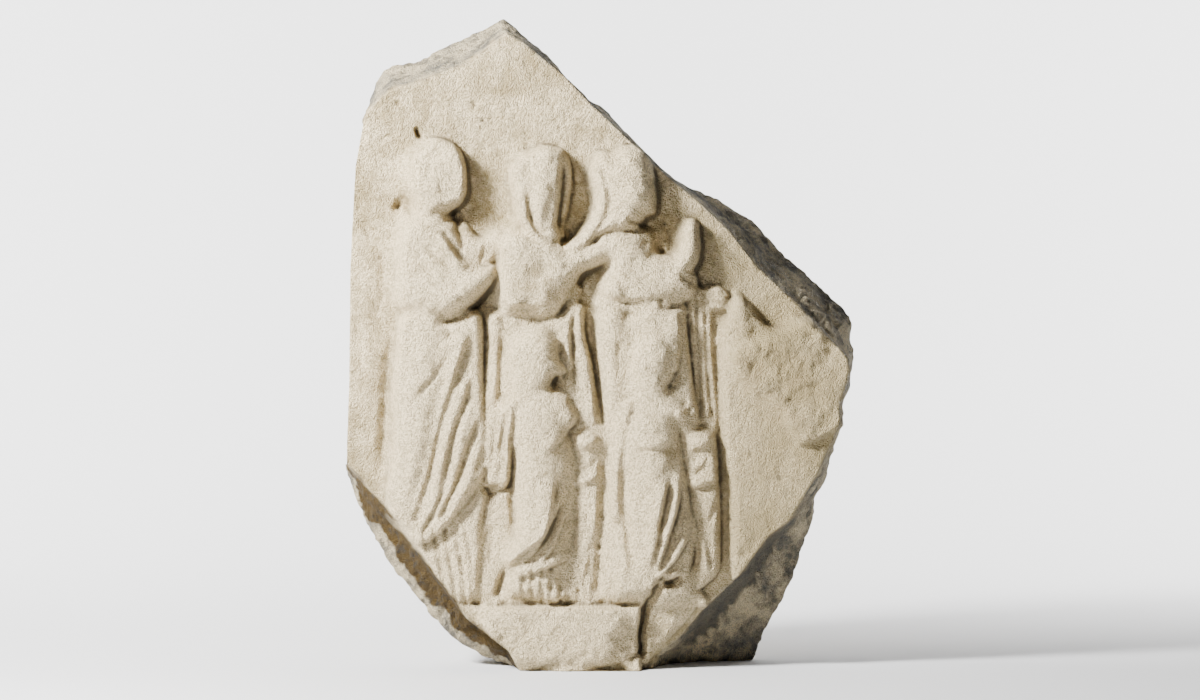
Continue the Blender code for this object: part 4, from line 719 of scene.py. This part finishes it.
def right_child(relief):
    """In front of the right adult, with a foot to the right."""
    size, feet = relief.sizes, relief.feet
    body = Form(relief, size.child, 0.005)
    body.mass([(16, 250), (24, 268), (42, 279), (62, 279), (76, 270), (89, 266), (90, 252),
            (80, 238), (84, 209), (88, 189), (95, 155), (96, 130), (90, 104), (84, 84), (80, feet),
            (6, feet), (5, 109), (8, 169), (8, 209), (12, 235)], 0.9, 28, 18)
    body.limb([(52, 264, 28, 0.98), (52, 240, 30, 1.04), (52, 210, 27, 1.02), (54, 170, 27, 1.06),
            (52, 130, 26, 1.04), (46, 100, 18, 0.95)])
    body.limb([(66, 262, 14, 1.0), (79, 256, 11, 0.98)])
    body.limb([(27, 262, 11, 0.95), (20, 236, 9, 0.88), (16, 200, 8, 0.8), (15, 150, 8, 0.76)])
    body.step([(50, 104), (56, 127), (61, 154), (68, 190)], 14, 1.2, 0.1)
    body.step([(57, 98), (68, 134), (78, 164), (82, 202)], 11, 1.3, 0.1)
    body.step([(58, 92), (76, 112), (90, 134)], 10, 1.1, 0.1)
    body.fold([(60, 108), (68, 140), (76, 176)], 5, 0.4)
    body.fold([(70, 104), (82, 132), (88, 160)], 5, 0.4)
    body.groove([(22, 256), (18, 232), (13, 212)], 5, 0.8)
    body.groove([(28, 226), (25, 190), (26, 150), (28, 110)], 7, 0.45)
    body.step([(26, 220), (50, 222), (66, 224), (76, 234)], 12, 0.45)
    body.step([(50, 82), (68, 90), (84, 96)], 12, 1.1, 0.05)
    body.rough([(20, 270), (86, 262), (84, 190), (60, 110), (20, 180)], 0.15, 8, 47)
    body.lay(0.0025)
    foot = Form(relief, size.child)
    foot.limb([(62, 84, 10, 0.7), (76, 84, 9, 0.62), (90, 77, 8, 0.5), (104, 66, 7, 0.38)])
    foot.groove([(88, 84), (94, 76), (96, 66)], 3, 0.3)
    foot.groove([(97, 76), (101, 68)], 2.5, 0.3)
    foot.lay(0.002)
    head = Form(relief, size.child, 0.006)
    head.mass([(18, 312), (26, 330), (44, 340), (62, 338), (73, 328), (77, 312), (74, 297),
            (68, 287), (60, 276), (40, 272), (22, 288)], 1.02, 18, 24)
    head.limb([(52, 314, 24, 1.0), (50, 296, 24, 0.98), (50, 272, 24, 1.0)])
    head.rough([(20, 335), (74, 335), (76, 295), (60, 276), (22, 285)], 0.24, 10, 49, 6)
    head.lay(0.003)
    cuts = Cuts(relief)
    cuts.groove([(80, 246), (81, 230), (86, 200), (92, 165), (98, 140), (95, 112), (87, 90)], 6,
            1.0, 0.08)
    cuts.groove([(4, 215), (3, 165), (0, 120), (-3, 72)], 7, 0.6, 0.08)
    cuts.groove([(14, 262), (12, 240), (9, 215)], 5, 0.5)
    cuts.groove([(26, 210), (24, 180), (26, 150), (30, 118), (34, 92)], 6, 0.5)
    cuts.groove([(22, 330), (18, 312), (20, 292)], 6, 0.3)
    cuts.groove([(77, 300), (72, 290), (67, 278)], 6, 0.9)
    cuts.rough([(78, 270), (92, 270), (90, 246), (76, 250)], 0.4, 7, 53, 3)


def ledge(relief):
    """The base line that the figures stand on, broken off at both ends."""
    size = relief.sizes
    top = size.ledge_height / SQUARE
    shelf = Form(relief, size.ledge)
    shelf.mass([(-150, top), (-120, top), (-40, top), (30, top), (42, top - 4), (40, 30), (36, -40),
            (-60, -60), (-170, -20), (-165, 45)], 1.0, 6)
    shelf.rough([(-150, 66), (40, 66), (45, -20), (-120, -20)], 0.3, 16, 12, 3)
    shelf.rough([(-150, 80), (-100, 70), (-96, 20), (-120, 0), (-170, 40)], 0.5, 12, 13, 8)
    shelf.lay()
    shard = Form(relief, size.ledge)
    shard.mass([(44, 84), (58, 92), (84, 92), (104, 76), (94, 58), (70, 30), (52, 12), (38, -20),
            (30, 10), (38, 50)], 0.36, 10, lean=-0.00004)
    shard.rough([(36, 90), (100, 90), (96, 50), (50, 0), (30, 10)], 0.5, 14, 61, 6)
    shard.lay()
    cuts = Cuts(relief)
    cuts.rough([(-130, 74), (40, 74), (41, 58), (-128, 56)], 0.45, 9, 59, 5)
    for u, v, wide, deep in ((-96, 65, 8, 0.5), (-66, 67, 6, 0.35), (-34, 66, 9, 0.4),
            (2, 66, 7, 0.45), (24, 65, 8, 0.6), (-112, 60, 9, 0.7)):
        cuts.scoop((u, v), (wide, 3.5), deep, 5)
    cuts.groove([(84, 95), (70, 88), (60, 90), (52, 74), (47, 68), (42, 48), (39, 34), (40, 20),
            (26, 8)], 7, 1.7, 0.12)
    cuts.scoop((29, 32), (10, 28), 1.1, -12)
    cuts.rough([(10, 58), (44, 58), (42, 0), (14, 4)], 0.7, 12, 63, 6)
    cuts.scoop((10, 2), (26, 7), 1.6)
    cuts.scoop((-60, 2), (20, 6), 1.2, 10)
    cuts.scoop((-95, 8), (22, 7), 1.4, -30)
    cuts.scoop((-128, 62), (14, 8), 0.9, -40)


def old_damage(relief):
    """Cracks, pits and chips of the carved face, and the soft ridges of its ground."""
    cuts = Cuts(relief)
    cuts.groove([(-184, 541), (-182, 534), (-179, 530)], 3.5, 1.3, 0.1)
    cuts.groove([(-220, 528), (-212, 533), (-205, 536)], 2, 0.4, 0.1)
    cuts.groove([(-243, 449), (-236, 440), (-230, 430)], 2, 0.4, 0.1)
    cuts.groove([(113, 439), (127, 407), (146, 388)], 12, -0.35, 0.2)
    cuts.groove([(-230, 412), (-234, 370), (-230, 320), (-235, 249)], 14, -0.25, 0.3)
    cuts.groove([(-220, 420), (-217, 385), (-222, 345)], 9, 0.2, 0.3)
    cuts.groove([(-207, 345), (-213, 300), (-216, 240), (-220, 190)], 9, 0.6, 0.2)
    cuts.rough([(-92, 620), (-70, 622), (-66, 575), (-92, 575)], 0.22, 9, 57, 8)
    for u, v, r, deep in ((-202, 565, 2.5, 0.5), (-126, 564, 2.5, 0.5), (-117, 548, 2, 0.5),
            (-170, 500, 2.5, 0.3), (-40, 540, 2, 0.3), (-2, 124, 3, 0.4), (-21, 79, 2, 0.5),
            (130, 150, 3, 0.4), (134, 142, 2.5, 0.4), (150, 215, 2, 0.3), (180, 190, 2.5, 0.3),
            (60, 148, 5, 0.35)):
        cuts.scoop((u, v), (r, r), deep)


def outside_face(u, v):
    """Distance outside the edge of the carved face, negative on the face."""
    return -depth_inside(u, v, np.asarray(FACE_EDGE, float))


def way_out(u, v, outside):
    """Distance to the outer outline, and the share of the way there from the carved face."""
    outline = np.asarray(LEFT_SIDE[::-1] + RIGHT_SIDE[1:], float)
    to_rim = np.abs(depth_inside(u, v, outline))
    return to_rim, outside / np.maximum(outside + to_rim, TINY)


def lower_right(u, v):
    """1 at the steep break at the lower right, 0 away from it."""
    return ramp(u, 60, 40) * ramp(v, 190, -60)


def break_off_sides(relief):
    """Outside the edge of the carved face the stone falls away to the rim at the back. It falls
    steeply at first at the lower right, and less far at the lower left."""
    size = relief.sizes
    u, v = relief.u, relief.v
    outside = np.clip(outside_face(u, v), 0, None)
    to_rim, share = way_out(u, v, outside)
    undercut = lower_right(u, v)
    steep = ramp(share, 0, STEEP_WIDTH) * STEEP_FALL \
        + ramp(share, STEEP_WIDTH, 1 - STEEP_WIDTH) * (1 - STEEP_FALL)
    fall = (1 - undercut) * share + undercut * steep
    fall *= 1 - SHALLOW * (ramp(u, -40, -60) * ramp(v, 210, -80))
    lumps = grain(u + 0.4 * v, v, 34, 21)
    ridges = np.abs(grain(u - 0.7 * v, 0.4 * (u + v), 16, 25))
    broken = ramp(outside, 0, 6) * ramp(to_rim, 0, 5)
    uneven = size.breaks * broken * (lumps + 0.8 * ridges - 0.4)
    ground = size.skin * grain(u, v, 60, 30)
    carved = 1 - ramp(outside, 0, 4)
    relief.height = (relief.height + ground) * carved - (size.slab - size.rim) * fall + uneven


def wear_lit_sides(relief):
    """Softens the sides of the forms that face left, which wear has rounded most."""
    slope = np.gradient(soften(relief.height, 12), axis=1)
    facing_left = soften(eased(ramp(slope, 0, 0.0003)), 6)
    relief.height += (soften(relief.height, 12) - relief.height) * facing_left


def worn_skin(relief):
    """The weathered surface of the carved face: soft unevenness, pits and chips."""
    u, v = relief.u, relief.v
    relief.height += relief.sizes.skin * (0.9 * grain(u, v, 60, 30) + 0.65 * grain(u, v, 9, 31)
                                          + 0.6 * grain(u, v, 4.2, 33, 2))


def carve(relief):
    for figure in (block_and_strands, small_figures, right_adult, middle_adult, left_adult,
                   left_child, right_child, ledge):
        figure(relief)
    wear_lit_sides(relief)
    old_damage(relief)
    relief.height = soften(relief.height, 2)
    worn_skin(relief)
    break_off_sides(relief)


def spread_behind(height, sizes):
    """How much what lies behind the ground is spread, because it lies further from the eye."""
    return np.clip(-height, 0, sizes.slab - sizes.rim) / EYE_DISTANCE


def stone_place(relief, at):
    """Where a point of the finished stone lies on the grid: u, v and height over the ground."""
    height = NODE_HIGH.y - relief.sizes.slab - at[:, 1]
    spread = spread_behind(height, relief.sizes)
    u = (at[:, 0] + relief.shift) / SQUARE / (1 + spread)
    v = at[:, 2] / SQUARE
    v = np.where(v > LEVEL_ZONE, (v + spread * EYE_LEVEL) / (1 + spread), v)
    return u, v, height


def values_of(items, name, width=1, kind=float):
    """Reads one property of many items, as rows where it has several values."""
    values = np.empty(width * len(items), kind)
    items.foreach_get(name, values)
    return values.reshape(-1, width) if width > 1 else values


def vertices_of(piece):
    return values_of(piece.data.vertices, "co", 3)


def facing_of(piece):
    return values_of(piece.data.vertex_normals, "vector", 3)


def move_vertices(piece, at):
    piece.data.vertices.foreach_set("co", np.ascontiguousarray(at, float).ravel())
    piece.data.update()


def set_mode(mode):
    bpy.ops.object.mode_set(mode=mode)


def finish_with(piece, kind, **settings):
    """Adds a modifier and applies it."""
    made = piece.modifiers.new(kind.lower(), kind)
    for name, value in settings.items():
        setattr(made, name, value)
    bpy.context.view_layer.objects.active = piece
    bpy.ops.object.modifier_apply(modifier=made.name)


def rough_blank():
    """A flat grid that stands where the face of the stone goes."""
    bpy.ops.object.select_all(action="DESELECT")
    bpy.ops.mesh.primitive_grid_add(x_subdivisions=COLUMNS, y_subdivisions=ROWS, size=1,
                                    location=(0, 0, 0.5), rotation=(0.5 * math.pi, 0, 0))
    bpy.ops.object.transform_apply(location=True, rotation=True, scale=True)
    blank = bpy.context.object
    blank.name = blank.data.name = "relief_carving"
    return blank


def carve_blank(blank, sizes):
    """Moves the grid's points to the carved face."""
    at = vertices_of(blank)
    order = np.lexsort((at[:, 0].round(5), at[:, 2].round(5)))
    share = (at[order, 0] + 0.5).reshape(ROWS + 1, COLUMNS + 1)
    relief = Relief(share, at[order, 2].reshape(ROWS + 1, COLUMNS + 1) * PEAK, sizes)
    carve(relief)
    spread = spread_behind(relief.height, sizes)
    v = relief.v + spread * (relief.v - EYE_LEVEL) * np.clip(relief.v / LEVEL_ZONE, 0, 1)
    u = relief.u * (1 + spread)
    relief.shift = 0.5 * (u.min() + u.max()) * SQUARE - 0.5 * (NODE_LOW.x + NODE_HIGH.x)
    at[order, 0] = (u * SQUARE - relief.shift).ravel()
    at[order, 1] = NODE_HIGH.y - sizes.slab - relief.height.ravel()
    at[order, 2] = (v * SQUARE).ravel()
    move_vertices(blank, at)
    return relief


def close_behind(blank):
    """Draws the edge of the face back to the plane of the back and closes it."""
    set_mode("EDIT")
    bpy.ops.mesh.select_mode(type="EDGE")
    bpy.ops.mesh.select_all(action="DESELECT")
    bpy.ops.mesh.select_non_manifold(extend=False, use_wire=False, use_boundary=True,
                                     use_multi_face=False, use_non_contiguous=False,
                                     use_verts=False)
    bpy.ops.mesh.extrude_region_move(TRANSFORM_OT_translate={"value": (0, 0, 0)})
    bpy.ops.transform.resize(value=(0.985, 0, 0.99), center_override=(0, NODE_HIGH.y, 0))
    bpy.ops.mesh.edge_face_add()
    bpy.ops.mesh.select_all(action="SELECT")
    bpy.ops.mesh.normals_make_consistent(inside=False)
    set_mode("OBJECT")


def roughen(piece, relief):
    """Gives the broken sides and the back their rough stone, and the face its fine grain."""
    sizes = relief.sizes
    at, facing = vertices_of(piece), facing_of(piece)
    u, v, height = stone_place(relief, at)
    sideways = np.minimum(ramp(np.abs(facing[:, 0]), 0.6, 0.2), 0.8)
    broken = np.maximum(ramp(outside_face(u, v), 0, 7), sideways) * ramp(-height, 0.001, 0.006)
    back = ramp(facing[:, 1], 0.6, 0.3)
    broken = np.maximum(broken * (1 - back), 0.35 * back)
    x, y, z = (at / SQUARE).T
    coarse = np.abs(grain(x + 0.6 * y, z - 0.5 * y, 30, 51)) \
        + grain(y + 0.3 * x, z + 0.4 * x, 22, 57)
    fine = grain(x - 0.7 * y, z + 0.8 * y, 7, 61) \
        + np.abs(grain(x - 0.9 * z, 0.5 * x + 0.4 * z, 9, 67))
    amount = broken * sizes.breaks * (0.3 * coarse + 0.2 * fine - 0.45)
    amount += (1 - broken) * sizes.skin * 0.16 * grain(x, z, 4, 71, 2)
    move_vertices(piece, at + facing * amount[:, None])


def cut_level(piece):
    """Cuts the underside level."""
    set_mode("EDIT")
    bpy.ops.mesh.select_all(action="SELECT")
    bpy.ops.mesh.bisect(plane_co=(0, 0, LEVEL_CUT), plane_no=(0, 0, 1), use_fill=True,
                        clear_inner=True)
    set_mode("OBJECT")


def fit_in_box(piece):
    """Makes the stone just as large as its box."""
    at = vertices_of(piece)
    low, high = at.min(axis=0), at.max(axis=0)
    box_low, box_high = np.array(NODE_LOW) + BOX_GAP, np.array(NODE_HIGH) - BOX_GAP
    move_vertices(piece, box_low + (at - low) * (box_high - box_low) / (high - low))


def thin_out(piece, relief):
    """Keeps most triangles for the carved face, and fewer for the broken sides and the back."""
    u, v, height = stone_place(relief, vertices_of(piece))
    plain = (outside_face(u, v) > 4) | (height < -0.006)
    choose_points(piece, plain & (facing_of(piece)[:, 1] > -0.3))
    set_mode("EDIT")
    bpy.ops.mesh.select_mode(type="FACE")
    bpy.ops.mesh.decimate(ratio=SIDE_SHARE)
    set_mode("OBJECT")
    finish_with(piece, "TRIANGULATE")
    finish_with(piece, "DECIMATE", ratio=min(1.0, TRIANGLES / len(piece.data.polygons)))


def choose_points(piece, chosen):
    """Selects points, and the edges and faces that lie wholly between them."""
    mesh = piece.data
    ends = values_of(mesh.edges, "vertices", 2, np.int32)
    corners = values_of(mesh.loops, "vertex_index", 1, np.int32)
    starts = values_of(mesh.polygons, "loop_start", 1, np.int32)
    mesh.vertices.foreach_set("select", chosen)
    mesh.edges.foreach_set("select", chosen[ends].all(axis=1))
    mesh.polygons.foreach_set("select", np.logical_and.reduceat(chosen[corners], starts))
    mesh.update()


def shaded_hollows_of(relief):
    """Painted shade, with grime, in low places, and painted shadow beside the forms."""
    near = relief.height - soften(relief.height, 10)
    # Painted shadow: how much higher the relief stands towards the upper left, where the key light
    # is
    cast_shadow = relief.at(relief.height, relief.u - 5, relief.v + 3) - relief.height
    return 0.95 * ramp(-near, 0.0003, 0.0013) + 0.7 * ramp(cast_shadow, 0.005, 0.009)


def brown_patches(u, v):
    rust = np.zeros(len(u))
    for centre_u, centre_v, radius_u, radius_v, turn, strength in RUST:
        away = np.hypot(*turned(u, v, (centre_u, centre_v), (radius_u, radius_v), turn))
        patch = np.clip(1.3 - away + 0.5 * grain(u, v, 12, 87), 0, 1)
        rust = np.maximum(rust, strength * patch)
    return rust


def mark_stone(piece, relief):
    """Masks for colours: grime with painted shade, broken stone, ochre stain, brown patches."""
    facing = facing_of(piece)[:, 1]
    u, v, height = stone_place(relief, vertices_of(piece))
    front, back = ramp(facing, 0.2, -0.3), ramp(facing, 0.3, 0.3)
    outside = outside_face(u, v)
    _, share = way_out(u, v, outside)
    broken = np.clip(outside / 4 + 0.5 * grain(u, v, 9, 81), 0, 1)
    streaks = grain(u + v, 0.25 * (u - v), 9, 83)
    low_left = ramp(u, -40, -30) * ramp(v, 222, -14)
    ochre = low_left * ramp(outside + 3 * streaks, -2, 4) * (1 - back) \
        * ramp(share - 0.22 * grain(u, v, 14, 85), 0.72, -0.08)
    top_left = ramp(u, -90, -10) * ramp(v, 570, 10) * ramp(outside, 0, 3)
    rust = np.maximum(brown_patches(u, v) * front, top_left * np.clip(1.5 - share * 2, 0, 1))
    # Painted shade on the steep part of the lower right break, turned away from the light
    steep_shade = lower_right(u, v) * ramp(share - 0.06 * streaks, STEEP_WIDTH + 0.08, -0.08)
    # Off the face that painted shade; on it grime, painted shade and painted shadow
    hollow = np.where(outside > 2, steep_shade, relief.at(shaded_hollows_of(relief), u, v) * front)
    proud = ramp(height, 0, 0.014) * (1 - ramp(outside, 0, 3))
    for name, values in (("hollow", hollow), ("broken", broken * (1 - 0.8 * back)),
                         ("ochre", ochre), ("proud", proud), ("rust", rust)):
        mask = piece.data.attributes.new(name, "FLOAT", "POINT")
        mask.data.foreach_set("value", np.ascontiguousarray(values, np.float32))


class Wire:
    """One value or colour in a material. Arithmetic on it adds Math nodes."""

    def __init__(self, tree, socket=None):
        self.tree, self.socket = tree, socket

    def node(self, kind, settings, inputs, output=0):
        """Adds any node: its type, its settings, and the values or wires of its sockets."""
        made = self.tree.nodes.new("ShaderNode" + kind)
        for name, value in settings.items():
            setattr(made, name, value)
        for name, value in inputs.items():
            if isinstance(value, Wire):
                self.tree.links.new(value.socket, made.inputs[name])
            else:
                made.inputs[name].default_value = value
        return Wire(self.tree, made.outputs[output])

    def math(self, operation, first, second):
        return self.node("Math", {"operation": operation}, {0: first, 1: second})

    def __add__(self, other):
        return self.math("ADD", self, other)

    __radd__ = __add__

    def __sub__(self, other):
        return self.math("SUBTRACT", self, other)

    def __rsub__(self, other):
        return self.math("SUBTRACT", other, self)

    def __mul__(self, other):
        return self.math("MULTIPLY", self, other)

    __rmul__ = __mul__

    def between(self, low, high):
        """0 below the low value, 1 above the high one, smooth between."""
        return self.node("MapRange", {"interpolation_type": "SMOOTHSTEP"},
                         {"Value": self, "From Min": low, "From Max": high})

    def blend(self, first, second):
        """The first colour where this is 0 and the second where it is 1."""
        return self.node("Mix", {"data_type": "RGBA"},
                         {0: self, 6: solid(first), 7: solid(second)}, 2)


def solid(tint):
    """A plain colour with its alpha. A wire stays as it is."""
    return tint if isinstance(tint, Wire) else (*tint, 1.0)


def darker(tint, share):
    return tuple(share * channel for channel in tint)


def marble(colours):
    """Weathered marble: mottled, speckled, grime and painted shade in hollows, darker where it
    broke.
    """
    material = bpy.data.materials.new("weathered_marble")
    material.use_nodes = True
    tree = material.node_tree
    shader = tree.nodes["Principled BSDF"]
    start = Wire(tree)
    place = start.node("TexCoord", {}, {}, 3)

    def mask(name):
        return start.node("Attribute", {"attribute_name": name}, {}, 2)

    def noise(scale, detail=4.0, roughness=0.6, stretch=(1, 1, 1), turn=0.0):
        turned_place = start.node("Mapping", {"vector_type": "TEXTURE"},
                                  {"Vector": place, "Rotation": (0, turn, 0), "Scale": stretch})
        return start.node("TexNoise", {}, {"Vector": turned_place, "Scale": scale,
                                           "Detail": detail, "Roughness": roughness})

    # The hollow mask holds grime, painted shade and painted shadow
    hollow, broken, ochre, rust = (mask(name) for name in ("hollow", "broken", "ochre", "rust"))
    clouds, blots = noise(16.0), noise(70.0, 5.0, 0.7)
    sand, grit = noise(430.0, 2.0, 0.6), noise(950.0, 1.0, 0.5)
    weathered = (clouds * 0.8 + blots * 0.9 - mask("proud") * 0.22).between(0.70, 1.15)
    face = weathered.blend(colours.clean, colours.dull)
    gritty = sand.between(0.36, 0.64) * 0.5 + grit.between(0.36, 0.64) * 0.5
    face = (gritty.between(0.3, 0.8) * 0.6).blend(face, colours.rust)
    # The right part of the stone is painted duller: part weathering, part painted shade
    across = start.node("SeparateXYZ", {}, {"Vector": place}, 0)
    duller_and_shaded = across.between(0.05, 0.14) * (0.7 + 0.3 * clouds.between(0.4, 0.6))
    face = duller_and_shaded.blend(face, colours.dull)
    # Grime and painted shade in hollows, and painted shadow beside the forms
    face = (hollow * 0.8 * blots.between(0.1, 0.5)).blend(face, colours.dirt_and_shade)
    face = (rust * blots.between(0.35, 0.6)).blend(face, colours.rust)
    specks = start.node("TexVoronoi", {}, {"Vector": place, "Scale": 330.0, "Randomness": 1.0})
    speckled = (1 - specks.between(0.10, 0.26)) * noise(140.0, 2.0).between(0.52, 0.66)
    face = (speckled * 0.55).blend(face, colours.dirt_and_shade)
    # The broken sides: grey stone with light patches, dark where rough, painted shade at the lower
    # right
    light_stone = tuple(0.3 * a + 0.7 * b for a, b in zip(colours.grey, colours.clean))
    stone = noise(38.0, 6.0, 0.7).between(0.3, 0.62).blend(colours.grey, light_stone)
    for dark in (blots.between(0.5, 0.64) * 0.6, grit.between(0.42, 0.6) * 0.4, hollow * 0.85):
        stone = dark.blend(stone, darker(colours.grey, 0.35))
    streaky = noise(150.0, 4.0, 0.7, (1.0, 1.0, 4.0), 0.75).between(0.48, 0.68)
    stain = streaky.blend(colours.ochre, darker(colours.dirt_and_shade, 0.25))
    finished = ochre.blend(broken.blend(face, stone), stain)
    tree.links.new(finished.socket, shader.inputs["Base Color"])
    tree.links.new((0.86 - 0.16 * clouds).socket, shader.inputs["Roughness"])
    shader.inputs["Specular IOR Level"].default_value = 0.35
    crags = noise(110.0, 5.0, 0.72) * broken * 1.1
    height = grit * 0.75 + sand * 0.45 + noise(190.0, 1.0, 0.5) * 0.3 - speckled * 0.5 + crags
    bump = start.node("Bump", {}, {"Strength": 1.0, "Distance": 0.005, "Height": height})
    tree.links.new(bump.socket, shader.inputs["Normal"])
    return material


class RELIEF_OT_fragment(bpy.types.Operator):
    """Carves the marble fragment, with its figures, ledge and broken sides, as one stone"""
    bl_idname = "relief.fragment"
    bl_label = "Carve the relief fragment"

    def execute(self, context):
        piece = rough_blank()
        relief = carve_blank(piece, context.scene.relief_sizes)
        close_behind(piece)
        finish_with(piece, "REMESH", mode="VOXEL", voxel_size=CELL)
        roughen(piece, relief)
        cut_level(piece)
        thin_out(piece, relief)
        fit_in_box(piece)
        bpy.ops.object.shade_smooth()
        mark_stone(piece, relief)
        piece.data.materials.clear()
        piece.data.materials.append(marble(context.scene.marble_colours))
        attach(piece, "root")
        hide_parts("relief_fragment")
        return {"FINISHED"}


def plain_material(name, tint, roughness):
    material = bpy.data.materials.new(name)
    material.use_nodes = True
    shader = material.node_tree.nodes["Principled BSDF"]
    shader.inputs["Base Color"].default_value = solid(tint)
    shader.inputs["Roughness"].default_value = roughness
    shader.inputs["Specular IOR Level"].default_value = 0.1
    return material


def soft_light(name, at, aim, size, strength):
    bpy.ops.object.light_add(type="AREA", location=at)
    light = bpy.context.object
    light.name = name
    light.data.shape = "SQUARE"
    light.data.size = size
    light.data.energy = strength
    light.rotation_mode = "QUATERNION"
    light.rotation_quaternion = (Vector(aim) - Vector(at)).to_track_quat("-Z", "Y")


def select_edges(piece, chosen):
    """Selects the edges whose ends are both chosen."""
    points = piece.data.vertices
    for edge in piece.data.edges:
        edge.select = all(chosen(points[k].co) for k in edge.vertices)


def bent_floor():
    """A floor that bends up into a backdrop."""
    bpy.ops.object.select_all(action="DESELECT")
    bpy.ops.mesh.primitive_plane_add(size=1, location=(0, FLOOR_MIDDLE, 0))
    floor = bpy.context.object
    floor.name = floor.data.name = "studio_floor"
    set_mode("EDIT")
    bpy.ops.transform.resize(value=(FLOOR_WIDTH, FLOOR_DEPTH, 1),
                             center_override=(0, FLOOR_MIDDLE, 0))
    bpy.ops.mesh.select_mode(type="EDGE")
    bpy.ops.mesh.select_all(action="DESELECT")
    set_mode("OBJECT")
    select_edges(floor, lambda at: at.y > 0.5 * FLOOR_DEPTH - 1e-4)
    set_mode("EDIT")
    bpy.ops.mesh.extrude_region_move(TRANSFORM_OT_translate={"value": (0, 0, BACKDROP_HEIGHT)})
    set_mode("OBJECT")
    bpy.ops.object.transform_apply(location=True, rotation=True, scale=True)
    far = FLOOR_MIDDLE + 0.5 * FLOOR_DEPTH
    select_edges(floor, lambda at: abs(at.y - far) < 1e-3 and abs(at.z) < 1e-3)
    set_mode("EDIT")
    bpy.ops.mesh.bevel(offset=BEND, segments=BEND_STEPS, affect="EDGES")
    set_mode("OBJECT")
    bpy.ops.object.shade_smooth()
    return floor


class RELIEF_OT_studio(bpy.types.Operator):
    """Sets up the pale floor with its curved backdrop, the soft lights and the camera"""
    bl_idname = "relief.studio"
    bl_label = "Set up the studio"

    def execute(self, context):
        looks = context.scene.studio_looks
        floor = bent_floor()
        floor.data.materials.append(plain_material("studio_white", looks.floor, 0.9))
        for name, at, aim, size, setting in LIGHTS:
            soft_light(name, at, aim, size, getattr(looks, setting))
        world = bpy.data.worlds.new("studio_air")
        world.use_nodes = True
        world.node_tree.nodes["Background"].inputs["Color"].default_value = (1, 1, 1, 1)
        world.node_tree.nodes["Background"].inputs["Strength"].default_value = AIR_LIGHT
        context.scene.world = world
        ground = NODE_HIGH.y - context.scene.relief_sizes.slab
        bpy.ops.object.camera_add(location=(0, ground - looks.distance, EYE_LEVEL * SQUARE),
                                  rotation=(0.5 * math.pi, 0, 0))
        camera = context.object
        camera.data.sensor_width = SENSOR
        camera.data.lens = SENSOR * looks.distance / (PHOTO_WIDTH * SQUARE)
        camera.data.clip_start, camera.data.clip_end = 0.05, 50
        context.scene.camera = camera
        return {"FINISHED"}


class RELIEF_PT_sidebar(bpy.types.Panel):
    """Sizes, colours and the steps of the relief"""
    bl_label = "Marble relief"
    bl_idname = "RELIEF_PT_sidebar"
    bl_space_type = "VIEW_3D"
    bl_region_type = "UI"
    bl_category = "Relief"

    def draw(self, context):
        for group in (context.scene.relief_sizes, context.scene.marble_colours,
                      context.scene.studio_looks):
            column = self.layout.column()
            for name in group.__annotations__:
                column.prop(group, name)
        self.layout.operator(RELIEF_OT_fragment.bl_idname)
        self.layout.operator(RELIEF_OT_studio.bl_idname)


CLASSES = (ReliefSizes, MarbleColours, StudioLooks, RELIEF_OT_fragment, RELIEF_OT_studio,
           RELIEF_PT_sidebar)


def register():
    for part in CLASSES:
        bpy.utils.register_class(part)
    bpy.types.Scene.relief_sizes = PointerProperty(type=ReliefSizes)
    bpy.types.Scene.marble_colours = PointerProperty(type=MarbleColours)
    bpy.types.Scene.studio_looks = PointerProperty(type=StudioLooks)


def unregister():
    del bpy.types.Scene.studio_looks
    del bpy.types.Scene.marble_colours
    del bpy.types.Scene.relief_sizes
    for part in reversed(CLASSES):
        bpy.utils.unregister_class(part)


def main():
    register()
    bpy.ops.relief.fragment()
    bpy.ops.relief.studio()


if __name__ == "__main__":
    main()
